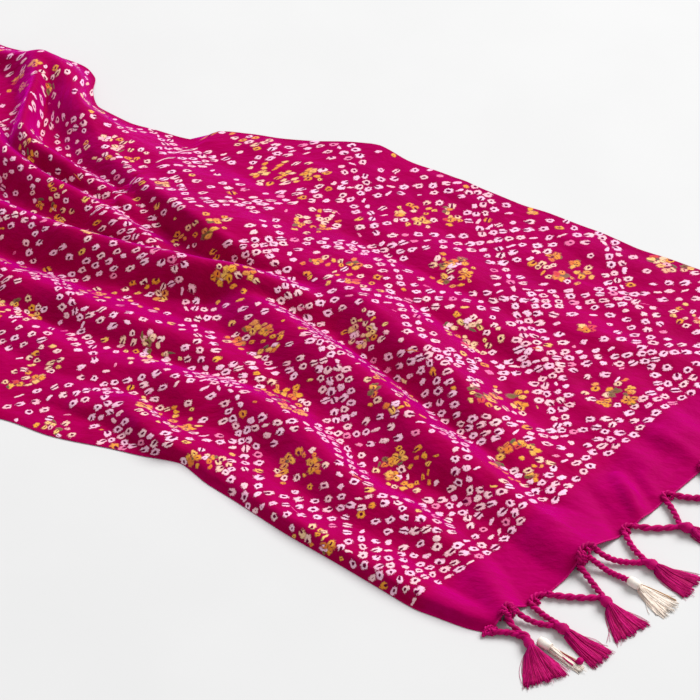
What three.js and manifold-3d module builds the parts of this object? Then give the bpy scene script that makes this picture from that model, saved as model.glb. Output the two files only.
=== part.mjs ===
// A printed dupatta lying loosely on a flat surface: one long sheet of crepe in soft lengthwise folds,
// with a fringe of twisted cords and tassels sewn through the hem at each end.
// Millimetres, +X along the length, +Y across the width, +Z up, resting on z = 0.
import * as THREE from 'three';
import { mergeVertices } from 'three/addons/utils/BufferGeometryUtils.js';
import Module from 'manifold-3d';

const wasm = await Module();
wasm.setup();

// ---------- named sizes ----------
const THICK = 2.0;            // sheet thickness
const MID_A = 381;            // x of the hem with the open end, at y = 0
const MID_B = -1800;          // x of the hem at the other end, at y = 0
const ACROSS = 40;            // facets across the width
const SKEW_DIES = 1000;       // length over which the slant of the open end's hem dies out
const JOIN_POWER = 2.6;       // how softly neighbouring folds run into one another
const ROLL = 1.35;            // how round a fold's flanks are
const NEAR_ROLL = 9;          // the strip at the near edge that comes down to the surface
const FAR_ROLL = 26;          // the same at the far edge
const FAR_LIFT = 0.25;        // share of its height that a fold keeps right at the far edge
const GAP = 0.4;              // clear space between neighbouring pieces

const CORD_R = 3.6;           // twisted cord
const HEAD_R = 5.6;           // wrapped head of a tassel
const HEAD_LEN = 15;          // from where two cords join to the neck
const SKIRT_H = 4.2;          // half height of a skirt lying flat
const BEAD_R = 6.0;           // bead on a cream tassel

// ---------- the folds: one table each, a row for each section ----------
// x, y of the crest, height h, plan width of its near flank wn and of its far flank wf
const FOLD_COLUMNS = ['x', 'y', 'h', 'wn', 'wf'];
const FOLDS = {
  shoulder: [
    [-1700, 195, 0, 60, 60], [-1500, 178, 11, 60, 60], [-1300, 166, 17, 56, 56], [-1100, 172, 21, 52, 52],
    [-900, 160, 22, 48, 50], [-760, 176, 22, 44, 44], [-680, 186, 21, 44, 36], [-600, 186, 22, 44, 32],
    [-540, 172, 25, 42, 42], [-490, 142, 22, 42, 46], [-450, 116, 20, 40, 66], [-400, 92, 19, 36, 84],
    [-350, 76, 20, 30, 96], [-300, 62, 22, 24, 104], [-250, 52, 24, 20, 112], [-200, 47, 23, 20, 112],
    [-160, 50, 19, 24, 100], [-110, 58, 14, 28, 80], [-60, 64, 8, 28, 60], [-20, 66, 0, 28, 50]],
  branch: [
    [-640, 180, 0, 30, 30], [-590, 172, 16, 34, 34], [-550, 140, 26, 38, 34], [-525, 95, 28, 36, 30],
    [-500, 58, 27, 30, 26], [-470, 44, 25, 26, 24], [-430, 42, 22, 24, 22], [-390, 41, 18, 24, 22],
    [-350, 38, 14, 22, 20], [-310, 36, 8, 20, 20], [-270, 38, 0, 20, 20]],
  upper: [
    [-1720, 60, 0, 56, 56], [-1500, 72, 10, 54, 54], [-1300, 58, 16, 50, 50], [-1100, 74, 20, 46, 46],
    [-900, 62, 22, 44, 44], [-760, 76, 23, 44, 40], [-680, 70, 23, 42, 36], [-600, 60, 22, 42, 34],
    [-540, 35, 25, 38, 28], [-500, 20, 26, 36, 24], [-460, 12, 26, 34, 22], [-420, 9, 25, 32, 22],
    [-380, 9, 23, 30, 22], [-340, 10, 20, 28, 22], [-300, 6, 15, 24, 20], [-265, 4, 8, 22, 20], [-240, 6, 0, 20, 20]],
  middle: [
    [-1740, -66, 0, 56, 56], [-1520, -42, 11, 56, 56], [-1300, -54, 17, 52, 52], [-1100, -34, 22, 48, 48],
    [-900, -48, 25, 46, 42], [-760, -46, 26, 44, 38], [-680, -52, 26, 42, 36], [-560, -60, 27, 40, 34],
    [-500, -63, 29, 40, 34], [-450, -63, 31, 40, 32], [-400, -60, 32, 40, 30], [-350, -53, 32, 40, 30],
    [-310, -43, 31, 40, 30], [-270, -32, 31, 40, 30], [-230, -20, 31, 40, 30], [-190, -6, 30, 38, 30],
    [-150, 9, 26, 36, 32], [-110, 20, 21, 34, 32], [-60, 31, 15, 30, 30], [-20, 40, 8, 28, 28], [20, 46, 0, 28, 28]],
  bright: [
    [-150, 78, 0, 26, 40], [-110, 70, 8, 32, 44], [-60, 60, 18, 42, 50], [-20, 52, 23, 46, 54], [10, 44, 25, 48, 58],
    [50, 36, 26, 48, 60], [90, 26, 25, 48, 58], [130, 12, 22, 46, 54], [170, -2, 18, 44, 48], [210, -16, 13, 40, 42],
    [260, -28, 8, 36, 36], [310, -36, 4, 34, 34], [380, -42, 0, 30, 30]],
  main: [
    [-190, 2, 0, 24, 24], [-160, -6, 12, 34, 24], [-130, -12, 19, 42, 26], [-90, -17, 22, 50, 28],
    [-50, -25, 23, 54, 30], [0, -30, 23, 56, 30], [50, -39, 23, 56, 32], [100, -54, 23, 54, 34],
    [150, -66, 21, 52, 34], [200, -71, 18, 50, 32], [240, -80, 14, 46, 28], [284, -91, 11, 46, 28],
    [312, -95, 13, 44, 38], [334, -100, 12, 40, 46], [351, -103, 13, 35, 48], [375, -107, 12, 31, 42]],
  lower: [
    [-1680, -168, 0, 54, 54], [-1480, -146, 9, 52, 52], [-1280, -156, 15, 48, 48], [-1090, -140, 19, 44, 44],
    [-900, -150, 21, 42, 40], [-760, -140, 22, 44, 38], [-680, -140, 22, 44, 36], [-560, -142, 22, 42, 34],
    [-480, -142, 23, 38, 34], [-420, -139, 23, 34, 32], [-380, -134, 22, 32, 32], [-330, -127, 20, 32, 34],
    [-290, -122, 19, 32, 36], [-240, -114, 19, 32, 38], [-200, -106, 18, 32, 38], [-150, -98, 16, 32, 36],
    [-100, -94, 12, 30, 34], [-60, -92, 7, 28, 30], [-20, -92, 0, 26, 26]],
  low: [
    [-1640, -236, 0, 48, 48], [-1400, -238, 9, 44, 44], [-1160, -216, 14, 40, 40], [-920, -230, 15, 38, 36],
    [-720, -212, 14, 36, 32], [-560, -206, 12, 36, 32], [-460, -194, 11, 34, 30], [-380, -187, 11, 32, 28],
    [-330, -183, 11, 32, 28], [-280, -181, 11, 32, 28], [-220, -175, 11, 34, 28], [-160, -161, 12, 36, 30],
    [-110, -147, 14, 40, 30], [-60, -134, 16, 44, 32], [-20, -129, 17, 46, 34], [20, -132, 17, 46, 34],
    [50, -140, 17, 46, 34], [80, -150, 16, 44, 34], [120, -162, 14, 42, 32], [160, -167, 12, 38, 32],
    [210, -168, 10, 34, 30], [255, -173, 5, 42, 32], [285, -185, 7, 34, 28], [312, -200, 9, 30, 26],
    [332, -209, 9.5, 28, 24], [350, -215, 7, 25, 21]],
  edge: [
    [-940, -304, 0, 30, 34], [-760, -300, 6, 32, 34], [-560, -284, 8, 32, 34], [-420, -264, 8, 30, 34],
    [-300, -241, 3, 28, 40], [-240, -238, 3, 24, 40], [-200, -234, 4, 14, 42], [-178, -231, 7, 14, 42],
    [-159, -222, 9, 18, 40], [-141, -213, 11, 24, 38], [-122, -217, 13, 20, 38], [-105, -223, 15, 15, 38],
    [-77, -228, 15, 11, 38], [-49, -229, 11, 8, 38], [-20, -234, 8.5, 7, 42], [20, -236, 7.5, 7, 48],
    [60, -238, 8, 7, 52], [120, -240, 9.5, 8, 50], [200, -242, 10, 10, 40], [260, -240, 10, 12, 28],
    [310, -232, 8, 13, 26], [340, -224, 5, 13, 26]],
  plateau: [
    [-170, 118, 0, 28, 40], [-120, 108, 8, 30, 44], [-50, 100, 12, 32, 46], [20, 101, 11, 32, 46],
    [100, 108, 9, 32, 42], [180, 112, 6, 32, 40], [260, 118, 0, 32, 40]],
  ripple: [
    [-140, 180, 0, 30, 40], [-40, 172, 5, 34, 44], [30, 165, 7, 34, 44], [100, 160, 7, 32, 44], [160, 160, 5, 32, 44],
    [240, 172, 4, 30, 40], [310, 190, 4, 26, 34], [360, 205, 3, 22, 26], [410, 215, 0, 20, 24]],
};

// ---------- the outline: near and far edge along the length ----------
const EDGE_COLUMNS = ['x', 'near', 'far'];
const EDGES = [
  [-1850, -301, 297], [-1500, -308, 283], [-1200, -312, 262], [-1000, -322, 238], [-860, -336, 214],
  [-770, -346, 196], [-700, -350, 178], [-640, -348, 180], [-600, -344, 190], [-570, -341, 206],
  [-540, -338, 211], [-515, -335, 202], [-497, -333, 176], [-470, -330, 158], [-430, -325, 158],
  [-390, -320, 167], [-343, -312, 180], [-333, -310, 206], [-299, -303, 224], [-266, -297, 238],
  [-225, -286, 260], [-187, -280, 284], [-160, -272, 294], [-119, -257, 290], [-82, -245, 294], [-60, -235, 296], [-45, -231, 298],
  [-28, -234, 298], [-8, -238, 299], [24, -240, 300], [60, -243, 306], [98, -246, 309], [131, -247, 312],
  [166, -248, 312], [209, -250, 318], [249, -252, 322], [276, -248, 325], [305, -243, 328],
  [330, -236, 330], [440, -232, 336]];
// hem lines: how far along x each hem lies at y
const HEM_COLUMNS = ['y', 'x'];
const HEM_A = [[-239, 327], [-215, 330], [-195, 336], [-175, 344], [-122, 354], [-103, 356], [-49, 370],
  [9, 381], [66, 391], [140, 405], [220, 421], [300, 437], [336, 444]];
const HEM_B = [[-301, -1812], [-210, -1803], [-110, -1796], [0, -1800], [90, -1808], [190, -1801], [297, -1786]];

// facets along the length: from, to, how many
const BAY_COLUMNS = ['from', 'to', 'count'];
const BAYS = [[0, 0.20, 12], [0.20, 0.42, 14], [0.42, 0.52, 4], [0.52, 1.0, 8]];

// ---------- the fringe ----------
// start of each cord along the hem (ya, yb), where they join (out from the hem, jy), which way the tassel points,
// skirt length and half width, and how far each cord bows across
const TASSEL_COLUMNS = ['ya', 'yb', 'out', 'jy', 'yaw', 'len', 'half', 'bowA', 'bowB'];
const FRINGE_A = [
  [-236.0, -215.0, 30, -223, -35, 39, 24, 3.0, -2.0],
  [-204.5, -186.0, 38.5, -194, -8, 44, 15, -3.5, -1.0],
  [-166.5, -121.0, 41, -140, -22, 37, 20, -2.0, 1.0],
  [-96.5, -57.0, 42, -77.5, -1, 41, 18, -5.0, -2.5],
  [-43.5, 3.5, 33, -18, 8, 44, 16, -3.0, 2.0],
  [14.5, 60.5, 36, 40, 15, 43, 16, -4.0, 3.0],
  [71.5, 114.0, 33, 92, -6, 45, 15, -1.0, 4.0],
  [129.5, 175.5, 38, 153, 11, 44, 17, -5.0, 2.0],
  [187.0, 229.0, 34, 208, 3, 43, 15, 2.0, 4.0],
  [244.5, 286.0, 37, 266, 19, 44, 16, -3.0, 3.0],
  [297.0, 317.0, 30, 309, 27, 43, 15, 2.0, -1.5]];
const FRINGE_B = [
  [-266.0, -248.0, 31, -258, -27, 44, 15, 2.0, 1.0],
  [-233.0, -190.0, 36, -212, -4, 43, 16, -3.0, 3.0],
  [-179.0, -133.0, 34, -157, -3, 45, 16, -4.0, 2.0],
  [-117.5, -74.0, 38, -95, 4, 44, 17, -2.0, 4.0],
  [-62.5, -15.5, 33, -40, 9, 43, 15, 3.0, 3.0],
  [-4.0, 41.0, 37, 21, -12, 44, 16, -4.0, -1.0],
  [56.5, 99.5, 34, 76, 2, 44, 16, -3.0, 4.0],
  [111.0, 159.0, 39, 135, -9, 43, 17, 2.0, 4.0],
  [170.5, 211.0, 33, 190, -3, 45, 15, -4.0, 2.0],
  [226.5, 256.5, 35, 240, 4, 44, 16, -3.0, 2.0],
  [266.5, 280.5, 30, 275, 25, 43, 13, -0.5, 0.5]];
// cream tassels: cord start (ys, s out from the hem), bead (out from the hem, by), skirt direction, length, half width
const CREAM_COLUMNS = ['ys', 's', 'out', 'by', 'yaw', 'len', 'half'];
const CREAM_A = [
  [-220.8, 42.5, 49.0, -220.0, -4, 34, 5],
  [-108.8, 3.0, 55.0, -107.5, -7, 36, 13],
  [121.8, 3.0, 52.0, 123.5, 4, 41, 10],
  [236.8, 3.0, 55.0, 237.0, 6, 42, 10]];
const CREAM_B = [
  [-240.5, 3.0, 54.0, -238.5, -12, 41, 6],
  [-125.2, 3.0, 55.0, -125.5, -3, 42, 10],
  [48.8, 3.0, 53.0, 48.0, -4, 41, 10],
  [218.8, 3.0, 56.0, 216.0, -2, 42, 9]];

// ---------- small helpers ----------
const named = (columns) => (row) => Object.fromEntries(columns.map((c, i) => [c, row[i]]));
const column = (rows, columns, name) => rows.map(named(columns)).map((r) => r[name]);

// a smooth curve through the rows that never overshoots them, held level past both ends
function curve(xs, ys) {
  const n = xs.length;
  const d = xs.slice(1).map((x, i) => (ys[i + 1] - ys[i]) / (x - xs[i]));
  const m = ys.map((_, i) => {
    if (i === 0) return d[0];
    if (i === n - 1) return d[n - 2];
    return d[i - 1] * d[i] > 0 ? (2 * d[i - 1] * d[i]) / (d[i - 1] + d[i]) : 0;
  });
  m[n - 1] = 0;
  return (value) => {
    const x = Math.min(Math.max(value, xs[0]), xs[n - 1]);
    let i = 0;
    while (i < n - 2 && x >= xs[i + 1]) i++;
    const h = xs[i + 1] - xs[i], t = (x - xs[i]) / h;
    return (2 * t ** 3 - 3 * t ** 2 + 1) * ys[i] + (t ** 3 - 2 * t ** 2 + t) * h * m[i]
      + (-2 * t ** 3 + 3 * t ** 2) * ys[i + 1] + (t ** 3 - t ** 2) * h * m[i + 1];
  };
}
const table = (rows, columns, key) => Object.fromEntries(columns.filter((c) => c !== key)
  .map((c) => [c, curve(column(rows, columns, key), column(rows, columns, c))]));
const ease = (t) => { const u = Math.min(Math.max(t, 0), 1); return u * u * (3 - 2 * u); };

// ---------- the draped surface ----------
const folds = Object.values(FOLDS).map((rows) => ({
  ...table(rows, FOLD_COLUMNS, 'x'),
  from: rows[0][0],
  to: rows[rows.length - 1][0],
}));
const edges = table(EDGES, EDGE_COLUMNS, 'x');
const hemA = table(HEM_A, HEM_COLUMNS, 'y').x;
const hemB = table(HEM_B, HEM_COLUMNS, 'y').x;

function height(x, y) {
  let sum = 0;
  for (const fold of folds) {
    if (x < fold.from || x > fold.to) continue;
    const away = y - fold.y(x);
    const t = Math.abs(away) / (away < 0 ? fold.wn(x) : fold.wf(x));
    if (t >= 1) continue;
    sum += Math.max(fold.h(x) * Math.cos((t * Math.PI) / 2) ** ROLL, 0) ** JOIN_POWER;
  }
  let z = sum ** (1 / JOIN_POWER);
  z *= ease((y - edges.near(x)) / NEAR_ROLL);
  z *= FAR_LIFT + (1 - FAR_LIFT) * ease((edges.far(x) - y) / FAR_ROLL);
  return z;
}
function surfaceNormal(x, y) {
  const d = 0.5;
  return new THREE.Vector3(height(x - d, y) - height(x + d, y), height(x, y - d) - height(x, y + d), 2 * d).normalize();
}

// the station line at share s of the length: it takes the slant of each hem near that hem
function station(s) {
  const x0 = MID_A + (MID_B - MID_A) * s;
  const a = Math.max(1 - (MID_A - x0) / SKEW_DIES, 0), b = Math.max(1 - (x0 - MID_B) / SKEW_DIES, 0);
  return (y) => x0 + a * (hemA(y) - MID_A) + b * (hemB(y) - MID_B);
}
// points of equal cloth width along one station, from the near edge to the far edge
function section(s) {
  const line = station(s), fine = 400;
  let y0 = -250, y1 = 250;
  for (let k = 0; k < 12; k++) { y0 = edges.near(line(y0)); y1 = edges.far(line(y1)); }
  const raw = Array.from({ length: fine + 1 }, (_, i) => {
    const y = y0 + ((y1 - y0) * i) / fine, x = line(y);
    return new THREE.Vector3(x, y, height(x, y));
  });
  const arc = [0];
  for (let i = 1; i <= fine; i++) arc.push(arc[i - 1] + raw[i].distanceTo(raw[i - 1]));
  return Array.from({ length: ACROSS + 1 }, (_, j) => {
    const want = (arc[fine] * j) / ACROSS;
    let i = 1;
    while (i < fine && arc[i] < want) i++;
    return raw[i - 1].clone().lerp(raw[i], (want - arc[i - 1]) / (arc[i] - arc[i - 1]));
  });
}

function toGeometry(points, triangles) {
  const geometry = new THREE.BufferGeometry();
  geometry.setAttribute('position', new THREE.Float32BufferAttribute(points.flatMap((p) => [p.x, p.y, p.z]), 3));
  geometry.setIndex(triangles);
  return geometry;
}

function clothGeometry() {
  const shares = [0];
  for (const bay of BAYS.map(named(BAY_COLUMNS)))
    for (let k = 1; k <= bay.count; k++) shares.push(bay.from + ((bay.to - bay.from) * k) / bay.count);
  const under = shares.map(section);
  const over = under.map((row) => row.map((p) => p.clone().addScaledVector(surfaceNormal(p.x, p.y), THICK)));
  const rows = shares.length, cols = ACROSS + 1, layer = rows * cols;
  const points = [...over.flat(), ...under.flat()];
  const at = (i, j, below) => below * layer + i * cols + j;
  const triangles = [];
  const quad = (a, b, c, d) => triangles.push(a, b, c, a, c, d);
  for (let i = 0; i < rows - 1; i++)
    for (let j = 0; j < cols - 1; j++) {
      quad(at(i, j, 0), at(i, j + 1, 0), at(i + 1, j + 1, 0), at(i + 1, j, 0));
      quad(at(i, j, 1), at(i + 1, j, 1), at(i + 1, j + 1, 1), at(i, j + 1, 1));
    }
  for (let i = 0; i < rows - 1; i++) {
    quad(at(i, 0, 0), at(i + 1, 0, 0), at(i + 1, 0, 1), at(i, 0, 1));
    quad(at(i + 1, cols - 1, 0), at(i, cols - 1, 0), at(i, cols - 1, 1), at(i + 1, cols - 1, 1));
  }
  for (let j = 0; j < cols - 1; j++) {
    quad(at(0, j + 1, 0), at(0, j, 0), at(0, j, 1), at(0, j + 1, 1));
    quad(at(rows - 1, j, 0), at(rows - 1, j + 1, 0), at(rows - 1, j + 1, 1), at(rows - 1, j, 1));
  }
  return toGeometry(points, triangles);
}

// ---------- the tassels ----------
// a closed body through elliptical rings: each has a centre, a heading in plan, a half width and a half height
function loft(rings, sides) {
  const points = [], triangles = [];
  for (const r of rings) {
    const across = new THREE.Vector3(-Math.sin(r.heading), Math.cos(r.heading), 0);
    for (let k = 0; k < sides; k++) {
      const a = -Math.PI / 2 + ((k + 0.5) * 2 * Math.PI) / sides;
      points.push(r.at.clone().addScaledVector(across, r.half * Math.cos(a)).add(new THREE.Vector3(0, 0, r.rise * Math.sin(a))));
    }
  }
  for (let i = 0; i < rings.length - 1; i++)
    for (let k = 0; k < sides; k++) {
      const n = (k + 1) % sides, a = i * sides + k, b = i * sides + n, c = (i + 1) * sides + n, d = (i + 1) * sides + k;
      triangles.push(a, b, c, a, c, d);
    }
  const last = (rings.length - 1) * sides;
  for (let k = 1; k < sides - 1; k++) triangles.push(0, k + 1, k, last, last + k, last + k + 1);
  return toGeometry(points, triangles);
}
const lowest = (rise, sides) => rise * Math.cos(Math.PI / sides);

function cord(from, to, bow, sides, steps) {
  const way = to.clone().sub(from), rings = [];
  for (let k = 0; k <= steps; k++) {
    const t = k / steps, slope = bow * Math.PI * Math.cos(Math.PI * t);
    rings.push({
      at: from.clone().addScaledVector(way, t).add(new THREE.Vector3(0, bow * Math.sin(Math.PI * t), 0)),
      heading: Math.atan2(way.y + slope, way.x), half: CORD_R, rise: CORD_R,
    });
  }
  return loft(rings, sides);
}

function body(geometry) {
  const bare = mergeVertices(geometry, 1e-4);
  const solid = new wasm.Manifold(new wasm.Mesh({
    numProp: 3,
    vertProperties: new Float32Array(bare.attributes.position.array),
    triVerts: new Uint32Array(bare.index.array),
  }));
  if (solid.volume() > 0) return solid;
  const turned = Array.from(bare.index.array);
  for (let i = 0; i < turned.length; i += 3) [turned[i], turned[i + 1]] = [turned[i + 1], turned[i]];
  return new wasm.Manifold(new wasm.Mesh({
    numProp: 3,
    vertProperties: new Float32Array(bare.attributes.position.array),
    triVerts: new Uint32Array(turned),
  }));
}
function geometryOf(solid) {
  const mesh = solid.getMesh();
  const geometry = new THREE.BufferGeometry();
  geometry.setAttribute('position', new THREE.Float32BufferAttribute(Array.from(mesh.vertProperties), 3));
  geometry.setIndex(Array.from(mesh.triVerts));
  return geometry;
}
const joined = (...parts) => geometryOf(parts.map(body).reduce((a, b) => a.add(b)));

// end = +1 for the open end, -1 for the other: a place given out from the hem and along it
const placer = (hem, end) => (out, y, z) => new THREE.Vector3(hem(y) + end * out, y, z);
const heading = (end, yaw) => (end > 0 ? THREE.MathUtils.degToRad(yaw) : Math.PI - THREE.MathUtils.degToRad(yaw));

function pinkTassel(row, hem, end) {
  const place = placer(hem, end), sides = 4, low = lowest(CORD_R, sides);
  const join = place(row.out, row.jy, low);
  const way = heading(end, row.yaw), ahead = new THREE.Vector3(Math.cos(way), Math.sin(way), 0);
  const into = join.clone().addScaledVector(ahead, 3);
  const ring = (s, half, rise) => ({ at: join.clone().addScaledVector(ahead, s).setZ(lowest(rise, 6)), heading: way, half, rise });
  return joined(
    cord(place(2.6, row.ya, low), into, row.bowA, sides, 3),
    cord(place(2.6, row.yb, low), into, row.bowB, sides, 3),
    loft([
      ring(0, CORD_R * 1.1, CORD_R), ring(7, HEAD_R, HEAD_R * 0.9), ring(HEAD_LEN, HEAD_R * 0.7, HEAD_R * 0.7),
      ring(HEAD_LEN + row.len * 0.45, row.half * 0.68, SKIRT_H), ring(HEAD_LEN + row.len, row.half, SKIRT_H * 0.7),
    ], 6),
  );
}

function creamTassel(row, hem, end) {
  const place = placer(hem, end), sides = 4, low = lowest(CORD_R * 0.9, sides);
  const bead = place(row.out, row.by, 0);
  const start = place(row.s, row.ys, low);
  const way = heading(end, row.yaw), ahead = new THREE.Vector3(Math.cos(way), Math.sin(way), 0);
  const ring = (s, half, rise) => ({ at: bead.clone().addScaledVector(ahead, s).setZ(lowest(rise, 6)), heading: way, half, rise });
  const cordWay = bead.clone().sub(start).setZ(0), cordHeading = Math.atan2(cordWay.y, cordWay.x);
  const cordRing = (t) => ({ at: start.clone().addScaledVector(cordWay, t), heading: cordHeading, half: CORD_R * 0.9, rise: CORD_R * 0.9 });
  return joined(
    loft([cordRing(0), cordRing(0.5), cordRing(1)], sides),
    loft([
      ring(-BEAD_R, BEAD_R * 0.45, BEAD_R * 0.5), ring(-BEAD_R * 0.4, BEAD_R * 0.95, BEAD_R * 0.95),
      ring(BEAD_R * 0.5, BEAD_R * 0.95, BEAD_R * 0.95), ring(BEAD_R * 1.2, BEAD_R * 0.5, BEAD_R * 0.5),
      ring(BEAD_R * 1.2 + row.len, row.half, SKIRT_H * 0.6),
    ], 6),
  );
}

// ---------- the model ----------
const crepe = new THREE.MeshStandardMaterial({ color: 0xc4006c, roughness: 0.62, metalness: 0 });
const pinkYarn = new THREE.MeshStandardMaterial({ color: 0xb0005f, roughness: 0.6, metalness: 0 });
const creamYarn = new THREE.MeshStandardMaterial({ color: 0xe9dcc6, roughness: 0.7, metalness: 0 });

const dupatta = new THREE.Group();
function add(name, geometry, material) {
  const mesh = new THREE.Mesh(geometry, material);
  mesh.name = name;
  dupatta.add(mesh);
  return mesh;
}
add('cloth', clothGeometry(), crepe);
for (const [letter, hem, end, pink, cream] of [['a', hemA, 1, FRINGE_A, CREAM_A], ['b', hemB, -1, FRINGE_B, CREAM_B]]) {
  pink.map(named(TASSEL_COLUMNS)).forEach((row, i) =>
    add(`tassel_${letter}${String(i + 1).padStart(2, '0')}`, pinkTassel(row, hem, end), pinkYarn));
  cream.map(named(CREAM_COLUMNS)).forEach((row, i) =>
    add(`cream_${letter}${i + 1}`, creamTassel(row, hem, end), creamYarn));
}

// the origin is under the middle of the whole object
const box = new THREE.Box3().setFromObject(dupatta);
const middle = box.getCenter(new THREE.Vector3());
dupatta.position.set(-middle.x, -middle.y, -box.min.z);

export default dupatta;
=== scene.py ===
"""The printed dupatta: a long sheet of magenta crepe with a tie-dye style print of small rings and flowers, laid
loosely on a surface in soft lengthwise folds, with a fringe of twisted cords and tassels along the hem at each end.
The tables are in millimetres, measured from the middle of the picture on the surface. Everything made is in metres."""

import math
import random

import bpy
import numpy as np
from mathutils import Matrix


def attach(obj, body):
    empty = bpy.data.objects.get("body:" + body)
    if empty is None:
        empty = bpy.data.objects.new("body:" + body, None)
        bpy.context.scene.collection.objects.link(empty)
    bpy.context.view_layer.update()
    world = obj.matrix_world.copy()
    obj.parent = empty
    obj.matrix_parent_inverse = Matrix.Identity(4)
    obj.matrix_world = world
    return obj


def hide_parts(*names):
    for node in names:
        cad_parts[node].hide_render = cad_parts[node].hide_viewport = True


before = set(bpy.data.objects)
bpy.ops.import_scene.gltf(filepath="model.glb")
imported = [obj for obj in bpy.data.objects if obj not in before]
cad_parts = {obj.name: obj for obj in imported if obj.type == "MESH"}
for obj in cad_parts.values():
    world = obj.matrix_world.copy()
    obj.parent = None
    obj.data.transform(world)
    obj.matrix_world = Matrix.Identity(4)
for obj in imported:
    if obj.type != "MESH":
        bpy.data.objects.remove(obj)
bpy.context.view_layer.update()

# ---------------------------------------------------------------- sizes
FLAT_WIDTH, FLAT_LENGTH = 0.60, 2.20  # the cut cloth
SHIFT = np.array([0.68930, 0.00065, 0.0])  # from the tables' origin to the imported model's
MID_A, MID_B = 381.0, -1800.0
SKEW_DIES = 1000.0
JOIN_POWER, ROLL = 2.6, 1.35
NEAR_ROLL, FAR_ROLL, FAR_LIFT = 9.0, 26.0, 0.25
THIN = 0.0009  # the crepe with its nap
LIFT = 0.0003
ROWS_SHOWN, ROWS_BEHIND, ACROSS = 330, 150, 150  # the mesh: rows along the length, columns across
UNDER_STEP = 4  # the underside needs fewer rows
CORD_R, HEAD_R, HEAD_LEN, SKIRT_H, BEAD_R = 3.6, 6.2, 15.0, 4.2, 6.0

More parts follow.
